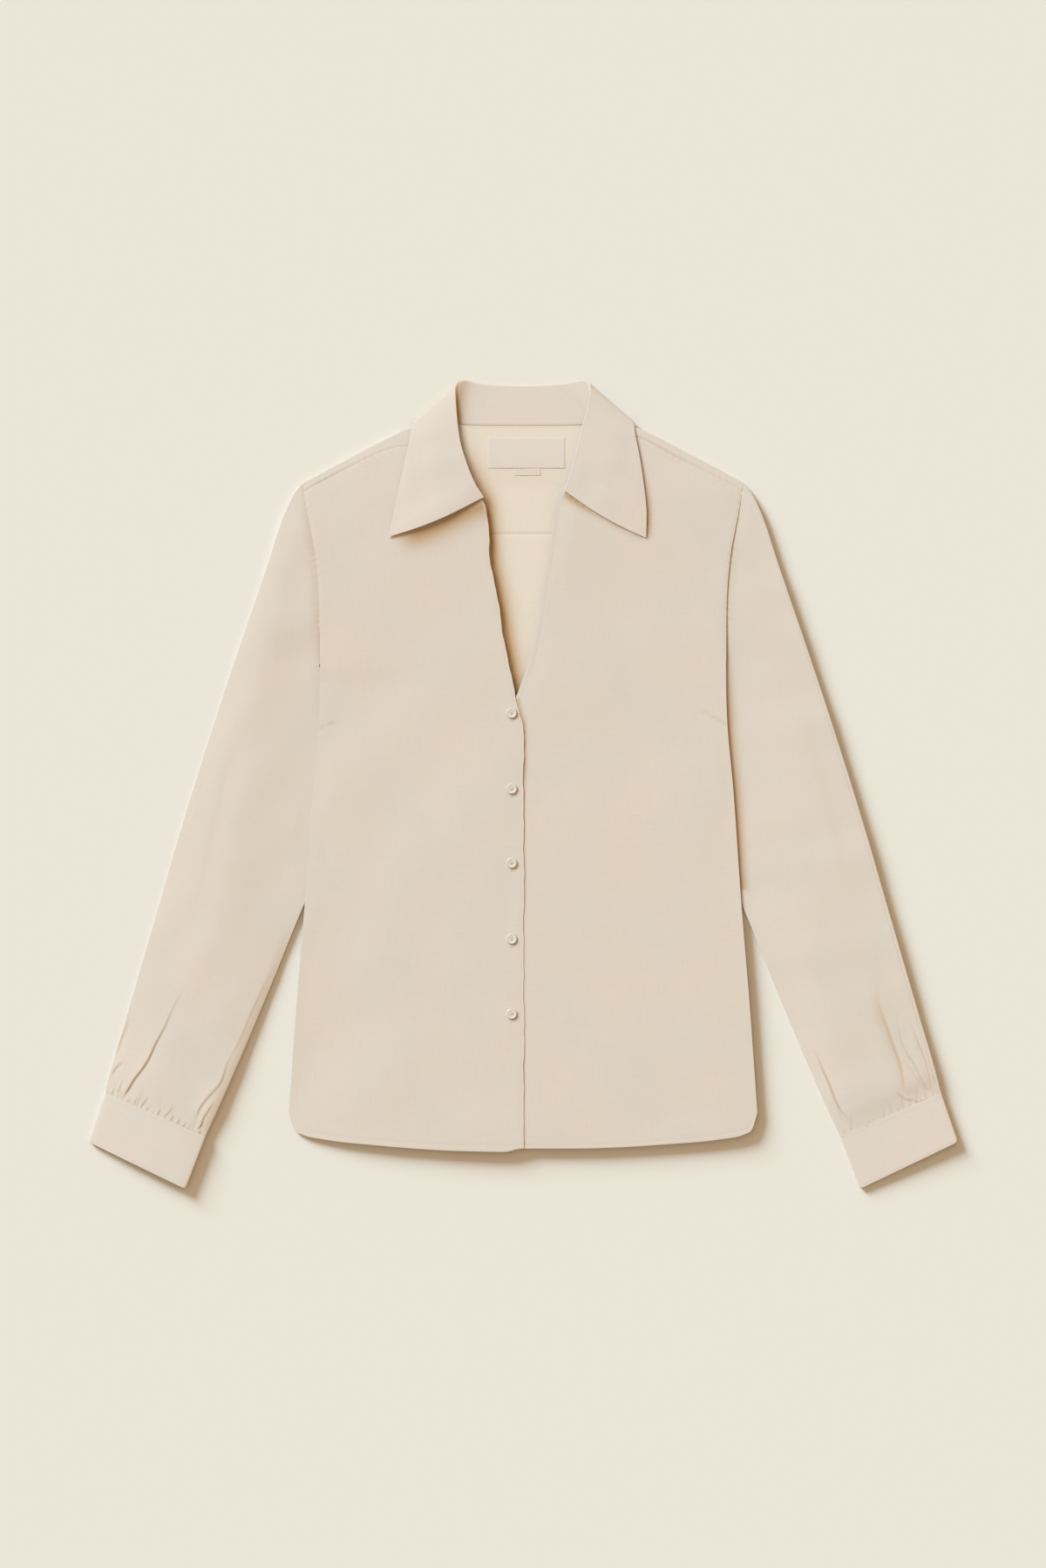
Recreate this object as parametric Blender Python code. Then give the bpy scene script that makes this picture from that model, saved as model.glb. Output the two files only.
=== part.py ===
"""A long-sleeved blouse with an open V neck and a turned-down collar, laid flat on its back.

Metres. +Z is up off the surface it lies on, +Y runs up to the collar and +X towards the
wearer's left sleeve. The origin is on that surface, under the middle of the blouse's outline.
Every piece of cloth is a wall of one thickness: a skin worked out from the sizes below and
made solid on its inner side. "Out" is a distance from the middle line towards a piece's side.
"""

import math

import bmesh
import bpy
import numpy as np

# Cloth, and the gaps between its pieces
WALL = 0.0010
SEAM_GAP = 0.0004  # between two pieces sewn edge to edge, half of it on each
LAY_GAP = 0.0004  # between two pieces that lie on each other
SHOULDER_GAP = 0.0006  # between the fronts and the yoke's strip

# Half the body's width by height: the side seam, then the armhole from ARMPIT up
HALF_WIDTH = (
    (-0.3010, 0.2150),
    (-0.2030, 0.2080),
    (-0.1120, 0.2005),
    (-0.0030, 0.1928),
    (0.0570, 0.1874),
    (0.1100, 0.1863),
    (0.1600, 0.1866),
    (0.2100, 0.1903),
    (0.2490, 0.1976),
    (0.2770, 0.2024),
)
ARMPIT = 0.1100
SIDE_FOOT = -0.3010  # where the hem's rounded corner begins
YOKE_SEAM = 0.2310
BACK_INSET = 0.0006  # the back stays just inside the fronts' outline
BACK_ROWS = 20
BACK_COLUMNS = (0, 0.2, 0.4, 0.62, 0.67, 0.73, 0.78, 0.84, 0.89, 0.95, 1)  # to either side

# The hem by its share of the half width
HEM = (
    (0.000, -0.3365),
    (0.330, -0.3352),
    (0.620, -0.3310),
    (0.860, -0.3255),
    (0.945, -0.3212),
    (0.980, -0.3155),
    (1.000, -0.3010),
)

# The shoulder fold and the neckline by distance out, and the yoke's strip on the front
SHOULDER = (
    (0.0760, 0.3335),
    (0.0900, 0.3310),
    (0.1060, 0.3268),
    (0.1490, 0.3056),
    (0.2024, 0.2770),
)
SHOULDER_TIP = 0.2024
NECK_SIDE = 0.0760
BACK_NECK = ((0.0000, 0.3300), (0.0400, 0.3302), (0.0760, 0.3313))
STRIP = ((0.1000, 0.0165), (0.2024, 0.0072))
FOLD_DEPTH = 0.0022  # how far the shoulder fold rounds
FOLD_TURNS = (-45, 0, 45, 90)  # degrees round it
YOKE_ROWS = 8
YOKE_SHARES = (0, 0.1, 0.2, 0.3, NECK_SIDE / SHOULDER_TIP, 0.45, 0.52, 0.59, 0.66, 0.73, 0.80, 0.86,
               0.93, 1)
YOKE_NECK = 4  # the column at the side of the neck, from which the cloth folds over

# The fronts' inner edges by height: buttoned edge, V, then the neckline under the collar
EDGE_OVER = (
    (-0.3340, -0.0008),
    (0.0440, -0.0006),
    (0.0540, 0.0004),
    (0.0640, 0.0026),
    (0.0800, 0.0066),
    (0.0960, 0.0099),
    (0.1280, 0.0160),
    (0.1680, 0.0227),
    (0.2064, 0.0302),
    (0.2568, 0.0346),
    (0.2640, 0.0385),
    (0.2790, 0.0560),
    (0.2970, 0.0695),
    (0.3166, 0.0755),
)
EDGE_UNDER = (
    (-0.3340, -0.0216),
    (0.0250, -0.0216),
    (0.0500, -0.0165),
    (0.0777, -0.0050),
    (0.0970, 0.0024),
    (0.1325, 0.0118),
    (0.1828, 0.0200),
    (0.2242, 0.0270),
    (0.2568, 0.0320),
    (0.2640, 0.0365),
    (0.2790, 0.0560),
    (0.2970, 0.0695),
    (0.3166, 0.0755),
)
FRONT_ROWS = 26
FRONT_COLUMNS = (0, 0.012, 0.04, 0.09, 0.15, 0.21, 0.28, 0.42, 0.56, 0.68, 0.77, 0.83, 0.88, 0.94, 1)

# How far the fronts stand off the back: at the side and hem, in the middle, at the armhole
SIDE_STAND = 0.0005
MIDDLE_STAND = 0.0024
ARMHOLE_STAND = 0.0026
SIDE_RISE = 0.0450  # the distance in which they rise to it from the side
HEM_RISE = 0.0350
ARMHOLE_RISE = 0.0900  # the height above the armpit in which the armhole opens
NECK_STAND = 0.0022  # more beside the top of the V
NECK_AT = (0.0360, 0.2500)
NECK_REACH = 0.0750
OVERLAP_RAMP = (0.0420, 0.0260)  # out, where the upper front climbs onto the under one

# The sleeve's two folds, shoulder to cuff. Each row: how far down, out, height
SLEEVE_OUTER = (
    (0.00, 0.2028, 0.2768),
    (0.02, 0.2098, 0.2672),
    (0.06, 0.2192, 0.2480),
    (0.14, 0.2352, 0.2000),
    (0.32, 0.2712, 0.0944),
    (0.52, 0.3080, -0.0208),
    (0.72, 0.3416, -0.1360),
    (0.86, 0.3640, -0.2128),
    (0.96, 0.3790, -0.2640),
    (1.00, 0.3838, -0.2836),
)
# The underarm fold runs beneath the body's side and comes out below it
SLEEVE_INNER = (
    (0.00, 0.1850, 0.1045),
    (0.03, 0.1834, 0.0930),
    (0.06, 0.1800, 0.0800),
    (0.10, 0.1720, 0.0620),
    (0.14, 0.1630, 0.0450),
    (0.22, 0.1520, 0.0150),
    (0.32, 0.1540, -0.0160),
    (0.42, 0.1670, -0.0450),
    (0.52, 0.1860, -0.0800),
    (0.62, 0.2050, -0.1200),
    (0.72, 0.2262, -0.1725),
    (0.86, 0.2560, -0.2440),
    (0.96, 0.2812, -0.3015),
    (1.00, 0.2914, -0.3230),
)
# How far each ring's middle is drawn round the armpit, out and down
SLEEVE_KNEE = (
    (0.00, -0.0035, -0.0880),
    (0.03, -0.0062, -0.0885),
    (0.06, -0.0035, -0.0890),
    (0.10, 0.0035, -0.0870),
    (0.14, 0.0080, -0.0825),
    (0.22, 0.0100, -0.0530),
    (0.32, 0.0050, -0.0160),
    (0.42, 0.0000, 0.0000),
    (1.00, 0.0000, 0.0000),
)
TIP_GAP = 0.0008  # more room between the sleeve and the yoke at the shoulder's tip
TIP_FROM = 0.2640
ARMHOLE_CLEAR = 0.0300  # how fast the rings leave the armhole, by how far down they are
PATH_STEPS = 41
SLEEVE_RINGS = (0, 0.03, 0.06, 0.10, 0.14, 0.19, 0.26, 0.34, 0.42, 0.48, 0.54, 0.60, 0.68, 0.78, 0.86)
GATHER_RINGS = (0.91, 0.945, 0.97, 0.985, 1.0)
TUCKED = 0.0028  # both layers of the sleeve under the body
TUCK_MARGIN = 0.0060
TUCK_RAMP = 0.0700
SLEEVE_HEIGHT = 0.0054
SLEEVE_PRESSED = 0.0120  # the distance from the body in which the sleeve stays low
SLEEVE_FREE = 0.0200  # and the distance in which it then rises
SLEEVE_SEAM = 0.0044  # its height along the open armhole
GATHER_DEPTH = 0.0009
GATHER_REACH = 0.1000
GATHER_EDGE = 0.03  # the share of the width beside each fold where they fade
GATHER_WANDER = (0.35, 9.0)  # how far and how often their spacing changes

# The folds above a cuff. Each row: place across at the cuff, place across at the fold's
# top, how far up it runs, half its width, height (a trough is below 0)
SLEEVE_FOLDS = (
    (0.07, 0.09, 0.14, 0.030, 0.0008),
    (0.19, 0.30, 0.24, 0.040, 0.0012),
    (0.30, 0.46, 0.30, 0.050, -0.0009),
    (0.52, 0.60, 0.22, 0.050, 0.0006),
    (0.74, 0.80, 0.16, 0.035, 0.0007),
    (0.84, 0.93, 0.20, 0.035, 0.0011),
    (0.93, 0.97, 0.12, 0.025, -0.0007),
)

# The cuff's four corners (out, height), and its section
CUFF_SEAM = ((0.3841, -0.2839), (0.2912, -0.3235))
CUFF_END = ((0.3992, -0.3280), (0.3096, -0.3712))
CUFF_HEIGHT = 0.0046

# The sections' steps: along the top, round each fold, along the underside
SLEEVE_STEPS = (12, 4, 5)
CUFF_STEPS = (8, 4, 4)

# The collar, from its front end round to the middle of the back. Each row: how far round,
# then the neck seam, the roll and the outer edge as (out, up, height), then the turn at the
# roll: 90 where the fall lies on top of the stand, -90 where it lies underneath
COLLAR_OVER = (
    (0.00, (0.0392, 0.2632, 0.0068), (0.0360, 0.2632, 0.0086), (0.1232, 0.2272, 0.0078), 90),
    (0.16, (0.0535, 0.2785, 0.0066), (0.0445, 0.2770, 0.0100), (0.1188, 0.2480, 0.0078), 90),
    (0.30, (0.0670, 0.2970, 0.0063), (0.0525, 0.2970, 0.0104), (0.1122, 0.2790, 0.0076), 90),
    (0.42, (0.0732, 0.3130, 0.0060), (0.0585, 0.3190, 0.0100), (0.1062, 0.3070, 0.0074), 85),
    (0.50, (0.0740, 0.3240, 0.0057), (0.0612, 0.3440, 0.0092), (0.1030, 0.3220, 0.0072), 80),
    (0.55, (0.0738, 0.3310, 0.0054), (0.0618, 0.3590, 0.0082), (0.1018, 0.3300, 0.0066), 60),
    (0.60, (0.0715, 0.3350, 0.0040), (0.0596, 0.3680, 0.0062), (0.0990, 0.3352, 0.0042), 10),
    (0.65, (0.0660, 0.3336, 0.0026), (0.0530, 0.3708, 0.0040), (0.0965, 0.3345, 0.0016), -50),
    (0.70, (0.0600, 0.3320, 0.0022), (0.0465, 0.3692, 0.0024), (0.0900, 0.3270, 0.0006), -80),
    (0.82, (0.0400, 0.3308, 0.0022), (0.0330, 0.3670, 0.0016), (0.0480, 0.3120, 0.0006), -90),
    (1.00, (0.0000, 0.3306, 0.0022), (0.0000, 0.3656, 0.0014), (0.0000, 0.3090, 0.0006), -90),
)
COLLAR_UNDER = (
    (0.00, (0.0408, 0.2680, 0.0068), (0.0385, 0.2690, 0.0086), (0.1130, 0.2262, 0.0078), 90),
    (0.16, (0.0535, 0.2800, 0.0070), (0.0428, 0.2830, 0.0100), (0.1134, 0.2480, 0.0078), 90),
    (0.30, (0.0670, 0.2980, 0.0063), (0.0494, 0.3070, 0.0104), (0.1103, 0.2790, 0.0076), 90),
    (0.42, (0.0732, 0.3130, 0.0060), (0.0548, 0.3300, 0.0100), (0.1062, 0.3050, 0.0074), 85),
    (0.50, (0.0740, 0.3240, 0.0057), (0.0596, 0.3480, 0.0092), (0.1030, 0.3210, 0.0072), 80),
    (0.55, (0.0738, 0.3310, 0.0054), (0.0612, 0.3610, 0.0082), (0.1018, 0.3300, 0.0066), 60),
    (0.60, (0.0715, 0.3350, 0.0040), (0.0598, 0.3684, 0.0062), (0.0990, 0.3352, 0.0042), 10),
    (0.65, (0.0660, 0.3336, 0.0026), (0.0535, 0.3708, 0.0040), (0.0965, 0.3345, 0.0016), -50),
    (0.70, (0.0600, 0.3320, 0.0022), (0.0465, 0.3692, 0.0024), (0.0900, 0.3270, 0.0006), -80),
    (0.82, (0.0400, 0.3308, 0.0022), (0.0330, 0.3670, 0.0016), (0.0480, 0.3120, 0.0006), -90),
    (1.00, (0.0000, 0.3306, 0.0022), (0.0000, 0.3656, 0.0014), (0.0000, 0.3090, 0.0006), -90),
)
COLLAR_STATIONS = (
    0, 0.05, 0.10, 0.16, 0.23, 0.30, 0.36, 0.42, 0.46, 0.50, 0.53, 0.56, 0.58, 0.60,
    0.62, 0.64, 0.67, 0.70, 0.76, 0.82, 0.91, 1,
)
FOLD_STATION = 0.60  # where the fall passes from the top to the underside
STAND_STEPS = 3
FALL_STEPS = 7
ROLL_RADIUS = 0.0009
CORNER_ROLL = 0.0012  # how much wider it rolls at the top corners
COLLAR_LAP = 0.0035  # how near the front's neckline the collar has to clear it
COLLAR_GAP = 0.0006
COLLAR_OFF_FLOOR = 0.0001
FALL_ARCH = 0.0010  # how much the fall rounds up between the roll and its outer edge
ARCH_ENDS = (0.45, 0.55)  # how far round the collar that dies away
CORNER_REACH = 0.12  # how far round, from each top corner, the wider roll lasts
BEHIND_FROM = 0.0020  # how far past the yoke's fold the fall begins to rise to the roll
BEHIND_RISE = 0.5
BEHIND_SHARE = 0.3  # the share of the fall, from the roll, that may stay higher
END_BOW = 0.0034  # how far the point's lower edge bows down
END_REACH = 0.12  # and how far round that lasts
UNDER_YOKE = 0.0016  # the collar under the yoke lifts it by this
UNDER_YOKE_EDGE = (0.2680, 0.3050)  # heights between which the yoke climbs onto it
UNDER_YOKE_END = (0.1040, 0.1180)  # and the distances out where it comes down again

# Buttons along the buttoned edge
BUTTON_X = -0.0104
BUTTON_HEIGHTS = (0.0656, -0.0040, -0.0720, -0.1416, -0.2104)
BUTTON_SIDES = 18
MERGE = 0.00001  # the profile's two ends close to one point within this
BUTTON_PROFILE = (
    (0.0000, 0.0000),
    (0.0038, 0.0000),
    (0.0048, 0.0008),
    (0.0048, 0.0015),
    (0.0042, 0.0022),
    (0.0034, 0.0020),
    (0.0028, 0.0014),
    (0.0000, 0.0014),
)

# Labels inside the back neck: middle, width, height
NECK_LABEL = ((0.0032, 0.3044), 0.0704, 0.0280)
SIZE_TAB = ((0.0040, 0.2870), 0.0240, 0.0062)
LABEL_STEPS = (6, 5)

# Finishes: base colour, roughness
CLOTH = ("blouse_cloth", (0.722, 0.624, 0.520), 0.78)
BAND = ("band_cloth", (0.735, 0.640, 0.540), 0.76)
PEARL = ("pearl_button", (0.800, 0.760, 0.690), 0.25)
TAPE = ("label_tape", (0.770, 0.700, 0.610), 0.70)


def smooth(t):
    """0 to 1 with no corner at either end."""
    t = min(max(t, 0.0), 1.0)
    return t * t * (3.0 - 2.0 * t)


def between(a, b, share):
    """The value or point at a share of the way from a to b."""
    return a + (b - a) * share


def curve(rows):
    """A smooth line through rows of (station, value, ...) that never swings past them."""
    table = np.array(rows, float)
    at, values = table[:, 0], table[:, 1:]
    slope = np.diff(values, axis=0) / np.diff(at)[:, None]
    tangent = np.vstack([slope[:1], (slope[1:] + slope[:-1]) / 2, slope[-1:]])
    limit = 3 * np.minimum(abs(slope[1:]), abs(slope[:-1])) * (slope[1:] * slope[:-1] > 0)
    tangent[1:-1] = np.clip(tangent[1:-1], -limit, limit)

    def point(t):
        i = int(np.clip(np.searchsorted(at, t) - 1, 0, len(at) - 2))
        step = at[i + 1] - at[i]
        w = min(max((t - at[i]) / step, 0.0), 1.0)
        found = (
            (1 + 2 * w) * (1 - w) ** 2 * values[i]
            + w * (1 - w) ** 2 * step * tangent[i]
            + w * w * (3 - 2 * w) * values[i + 1]
            + w * w * (w - 1) * step * tangent[i + 1]
        )
        return found if len(found) > 1 else float(found[0])

    return point


half_width = curve(HALF_WIDTH)
hem = curve(HEM)
shoulder = curve(SHOULDER)
back_neck = curve(BACK_NECK)
strip = curve(STRIP)
sleeve_outer = curve(SLEEVE_OUTER)
sleeve_inner = curve(SLEEVE_INNER)
sleeve_knee = curve(SLEEVE_KNEE)
# Where the tucked fold lies at each height, led off past the body above the armpit
tuck_fold = curve([(up, out) for _, out, up in reversed(SLEEVE_INNER)] + [(0.2000, 0.2900)])


def underside(out, up):
    """The back's and yoke's lower face: on the surface, or over the sleeve or the collar."""
    out = abs(out)
    full = tuck_fold(up) - TUCK_MARGIN
    over_sleeve = (TUCKED + LAY_GAP) * smooth((out - full) / TUCK_RAMP + 1.0)
    low, high = UNDER_YOKE_EDGE
    near, far = UNDER_YOKE_END
    over_collar = UNDER_YOKE * smooth((up - low) / (high - low)) * smooth((far - out) / (far - near))
    return max(over_sleeve, over_collar)


def stand_off(out, up):
    """The space between the back and a front."""
    edge = between(SIDE_STAND, ARMHOLE_STAND, smooth((up - ARMPIT) / ARMHOLE_RISE))
    found = between(edge, MIDDLE_STAND, smooth((half_width(up) - out) / SIDE_RISE))
    foot = hem(max(out, 0.0) / half_width(SIDE_FOOT))
    found = between(SIDE_STAND, found, smooth((up - foot) / HEM_RISE))
    away = math.hypot(out - NECK_AT[0], up - NECK_AT[1])
    return found + NECK_STAND * smooth(1.0 - away / NECK_REACH)


def front_top(out, up):
    """A front's upper face where nothing lies between it and the back."""
    return underside(out, up) + WALL + stand_off(out, up) + WALL


def no_lift(out):
    """The under front's."""
    return 0.0


def over_lift(out):
    """How much higher the upper front lies, where it laps the under one."""
    start, full = OVERLAP_RAMP
    return (WALL + LAY_GAP) * smooth((start - out) / (start - full))


def material(finish):
    """The material of a finish, made once."""
    name, colour, roughness = finish
    found = bpy.data.materials.get(name)
    if found is None:
        found = bpy.data.materials.new(name)
        found.use_nodes = True
        shader = found.node_tree.nodes["Principled BSDF"]
        shader.inputs["Base Color"].default_value = (*colour, 1.0)
        shader.inputs["Roughness"].default_value = roughness
    return found


def add_object(name, bm, finish, wall=None):
    """Makes a mesh an object, with a wall grown in from its skin if one is given."""
    mesh = bpy.data.meshes.new(name)
    bm.to_mesh(mesh)
    bm.free()
    mesh.materials.append(material(finish))
    mesh.shade_smooth()
    obj = bpy.data.objects.new(name, mesh)
    bpy.context.collection.objects.link(obj)
    if wall:
        solid = obj.modifiers.new("wall", "SOLIDIFY")
        solid.thickness = wall
        solid.offset = -1.0
        solid.use_even_offset = True
        solid.use_quality_normals = True
    return obj


def add_rows(bm, rows, side, closed=False):
    """Adds faces between rows of points. Side -1 mirrors them and turns them back round."""
    found = [[bm.verts.new((side * x, y, z)) for x, y, z in row] for row in rows]
    for low, high in zip(found, found[1:]):
        join_rows(bm, low, high, side, closed)
    return found


def join_rows(bm, low, high, side, closed=False):
    """Adds a face for each step between two rows of as many points."""
    steps = len(low) if closed else len(low) - 1
    for i in range(steps):
        a, b = low[i], low[(i + 1) % len(low)]
        c, d = high[(i + 1) % len(high)], high[i]
        face = (a, b, c, d)
        bm.faces.new(face if side > 0 else face[::-1])


def add_panel(name, rows, side=1):
    """A piece of cloth from rows of points on its lower face, made solid upwards."""
    bm = bmesh.new()
    add_rows(bm, rows, side)
    skin = bmesh.ops.extrude_face_region(bm, geom=bm.faces[:])
    lifted = [v for v in skin["geom"] if isinstance(v, bmesh.types.BMVert)]
    bmesh.ops.translate(bm, verts=lifted, vec=(0.0, 0.0, WALL))
    bmesh.ops.recalc_face_normals(bm, faces=bm.faces[:])
    return add_object(name, bm, CLOTH)


def make_back():
    """The back, from the hem to the yoke's seam."""
    columns = [-c for c in BACK_COLUMNS[:0:-1]] + list(BACK_COLUMNS)
    rows = []
    for share in np.linspace(0, 1, BACK_ROWS):
        side_up = between(SIDE_FOOT, YOKE_SEAM - SEAM_GAP / 2, share)
        width = half_width(side_up) - BACK_INSET
        row = []
        for c in columns:
            up = between(hem(abs(c)) + BACK_INSET, YOKE_SEAM - SEAM_GAP / 2, share)
            row.append((c * width, up, underside(c * width, up)))
        rows.append(row)
    add_panel("back", rows)


def front_point(edge, across, along):
    """A front's plan, blended from its four edges: side, inner edge, hem and shoulder seam."""

    def side_edge(t):
        up = between(SIDE_FOOT, shoulder_seam(SHOULDER_TIP), t)
        return np.array((half_width(up) - trim(up), up))

    def inner_edge(t):
        up = between(EDGE_OVER[0][0], EDGE_OVER[-1][0], t)
        return np.array((edge(up), up))

    def hem_edge(t):
        out = between(half_width(SIDE_FOOT), edge(EDGE_OVER[0][0]), t)
        return np.array((out, hem(max(out, 0.0) / half_width(SIDE_FOOT))))

    def seam_edge(t):
        out = between(side_edge(1.0)[0], inner_edge(1.0)[0], t)
        return np.array((out, shoulder_seam(out)))

    corners = between(
        between(side_edge(0.0), hem_edge(1.0), across),
        between(side_edge(1.0), inner_edge(1.0), across),
        along,
    )
    sides = between(side_edge(along), inner_edge(along), across)
    ends = between(hem_edge(across), seam_edge(across), along)
    return sides + ends - corners


def trim(up):
    """How far a front's edge is cut back to leave the armhole seam's gap."""
    return SEAM_GAP / 2 if up > ARMPIT else 0.0


def shoulder_seam(out):
    """The front edge of the yoke's strip."""
    return shoulder(out) - strip(out)


def make_front(name, side, edge, lift):
    """One front, from its own inner edge and the height it laps at."""
    rows = []
    for along in np.linspace(0, 1, FRONT_ROWS):
        row = []
        for across in FRONT_COLUMNS:
            out, up = front_point(edge, across, along)
            row.append((out, up, front_top(out, up) + lift(out) - WALL))
        rows.append(row)
    add_panel(name, rows, side)


def make_yoke():
    """The yoke, from the back's seam over the shoulders to its strip on each front."""
    columns = [-c for c in YOKE_SHARES[:0:-1]] + list(YOKE_SHARES)
    bm = bmesh.new()
    rows = []
    for along in np.linspace(0, 1, YOKE_ROWS):
        side_up = between(YOKE_SEAM + SEAM_GAP / 2, SHOULDER[-1][1] - FOLD_DEPTH, along)
        row = []
        for c in columns:
            up = between(YOKE_SEAM + SEAM_GAP / 2, yoke_top(abs(c) * SHOULDER_TIP), along)
            out = yoke_out(c, side_up)
            row.append((out, up, underside(out, up)))
        rows.append(row)
    found = add_rows(bm, rows, 1)
    middle = len(YOKE_SHARES) - 1
    folded = range(YOKE_NECK, len(YOKE_SHARES))
    for side in (-1, 1):
        first = [found[-1][middle + side * i] for i in folded]
        wrap = [strip_points(YOKE_SHARES[i]) for i in folded]
        for step in range(len(wrap[0])):
            high = [bm.verts.new((side * p[step][0], p[step][1], p[step][2])) for p in wrap]
            join_rows(bm, first, high, side)
            first = high
    bmesh.ops.reverse_faces(bm, faces=bm.faces[:])
    add_object("yoke", bm, CLOTH, WALL)


def yoke_top(out):
    """Where the yoke's lower layer ends: the back neckline, then the foot of the fold."""
    return back_neck(out) if out < NECK_SIDE else shoulder(out) - FOLD_DEPTH


def strip_points(share):
    """One column of the yoke from the foot of its fold to its seam on the front."""
    foot_up = yoke_top(share * SHOULDER_TIP)
    out = yoke_out(share, foot_up)
    low, high = underside(out, foot_up), front_top(out, foot_up)
    found = []
    for turn in FOLD_TURNS:
        angle = math.radians(turn)
        up = foot_up + FOLD_DEPTH * math.cos(angle)
        z = (low + high) / 2 + (high - low) / 2 * math.sin(angle)
        found.append((yoke_out(share, up), up, z))
    for along in (0.5, 1.0):
        out = yoke_out(share, between(foot_up, shoulder_seam(out), along))
        up = between(foot_up, shoulder_seam(out) + SHOULDER_GAP, along)
        found.append((out, up, front_top(out, up)))
    return found


def yoke_out(share, up):
    """How far out a column of the yoke lies at a height."""
    return share * (half_width(up) - SEAM_GAP / 2)


def section_place(q, steps, width, ends):
    """Place on a flattened tube's section: distance across it, and 1 on top to -1 beneath."""
    top, turn, under = steps
    first, last = ends
    if q <= top:
        return between(first, width - last, q / top), 1.0
    if q <= top + turn:
        angle = math.pi * (0.5 - (q - top) / turn)
        return width - last + last * math.cos(angle), math.sin(angle)
    if q <= top + turn + under:
        return between(width - last, first, (q - top - turn) / under), -1.0
    angle = math.pi * (-0.5 + (q - top - turn - under) / turn)
    return first - first * math.cos(angle), math.sin(angle)


def section_stations(steps, fineness):
    """The places along a section, with each step of the top cut into as many as fineness."""
    top, turn, under = steps
    fine = [i / fineness for i in range(top * fineness)]
    return fine + list(range(top, top + 2 * turn + under))


def sleeve_height(out, up, across, down):
    """The sleeve's upper face: low under the body, then free, with its folds and gathers."""
    seam = between(TUCKED, SLEEVE_SEAM, smooth((up - ARMPIT) / ARMHOLE_RISE))
    free = smooth((out - half_width(up) - SLEEVE_PRESSED) / SLEEVE_FREE)
    height = between(seam, SLEEVE_HEIGHT, free)
    edge = min(across, 1.0 - across)
    for at_cuff, at_top, reach, width, rise in SLEEVE_FOLDS:
        climb = (1.0 - down) / reach
        line = between(at_cuff, at_top, climb)
        height += rise * free * math.exp(-(((across - line) / width) ** 2)) * smooth(1.0 - climb)
    fade = smooth(1.0 - (1.0 - down) / GATHER_REACH) * smooth(edge / GATHER_EDGE)
    wander, turns = GATHER_WANDER
    wave = math.cos(2.0 * math.pi * (SLEEVE_STEPS[0] * across + wander * math.sin(turns * across)))
    return height - GATHER_DEPTH * fade * (0.5 + 0.5 * wave)


def sleeve_path(down):
    """A ring's line across the sleeve from fold to fold, and its length."""
    outer, inner = sleeve_outer(down), sleeve_inner(down)
    knee = between(outer, inner, 0.5) + sleeve_knee(down)
    points = []
    for share in np.linspace(0, 1, PATH_STEPS):
        out, up = between(between(outer, knee, share), between(knee, inner, share), share)
        beside = half_width(up) + SEAM_GAP / 2 + ARMHOLE_CLEAR * down
        if down == 0.0 and up > ARMPIT:
            out = beside + TIP_GAP * smooth((up - TIP_FROM) / (outer[1] - TIP_FROM))
        elif up > ARMPIT:
            out = max(out, beside)
        points.append((out, up))
    points = np.array(points)
    far = np.concatenate([[0.0], np.cumsum(np.hypot(*np.diff(points, axis=0).T))])

    def place(distance):
        return np.interp(distance, far, points[:, 0]), np.interp(distance, far, points[:, 1])

    return place, far[-1]


def sleeve_ring(down, fineness):
    """One section of the sleeve, bent round the armpit near the shoulder."""
    place, width = sleeve_path(down)
    ends = [sleeve_height(*place(far), 0.5, 0.0) / 2 for far in (0.0, width)]
    ring = []
    for q in section_stations(SLEEVE_STEPS, fineness):
        far, level = section_place(q, SLEEVE_STEPS, width, ends)
        out, up = place(far)
        height = sleeve_height(out, up, far / width, down)
        ring.append((out, up, height * (0.5 + 0.5 * level)))
    return ring


def join_finer(bm, low, high, top, side):
    """Joins a ring to one whose top has two steps for each of its own."""
    count = len(low)
    for i in range(count):
        a, b = low[i], low[(i + 1) % count]
        j = 2 * i if i <= top else i + top
        if i < top:
            faces = [(a, high[j + 1], high[j]), (a, b, high[j + 1]), (b, high[j + 2], high[j + 1])]
        else:
            faces = [(a, b, high[(j + 1) % len(high)], high[j])]
        for face in faces:
            bm.faces.new(face if side > 0 else face[::-1])


def make_sleeve(name, side):
    """A flattened sleeve, finer towards its gathers."""
    bm = bmesh.new()
    top = SLEEVE_STEPS[0]
    plain = add_rows(bm, [sleeve_ring(d, 1) for d in SLEEVE_RINGS], side, closed=True)
    halfway = add_rows(bm, [sleeve_ring(GATHER_RINGS[0], 2)], side, closed=True)
    fine = add_rows(bm, [sleeve_ring(d, 4) for d in GATHER_RINGS[1:]], side, closed=True)
    join_finer(bm, plain[-1], halfway[0], top, side)
    join_finer(bm, halfway[0], fine[0], 2 * top, side)
    add_object(name, bm, CLOTH, WALL)


def make_cuff(name, side):
    """A flattened cuff."""
    rows = []
    for along in (0.0, 0.5, 1.0):
        outer = between(np.array(CUFF_SEAM[0]), np.array(CUFF_END[0]), along)
        inner = between(np.array(CUFF_SEAM[1]), np.array(CUFF_END[1]), along)
        width = float(np.hypot(*(inner - outer)))
        ring = []
        for q in section_stations(CUFF_STEPS, 1):
            far, level = section_place(q, CUFF_STEPS, width, (CUFF_HEIGHT / 2, CUFF_HEIGHT / 2))
            out, up = between(outer, inner, far / width)
            ring.append((out, up, CUFF_HEIGHT * (0.5 + 0.5 * level)))
        rows.append(ring)
    bm = bmesh.new()
    add_rows(bm, rows, side, closed=True)
    add_object(name, bm, BAND, WALL)


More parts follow.
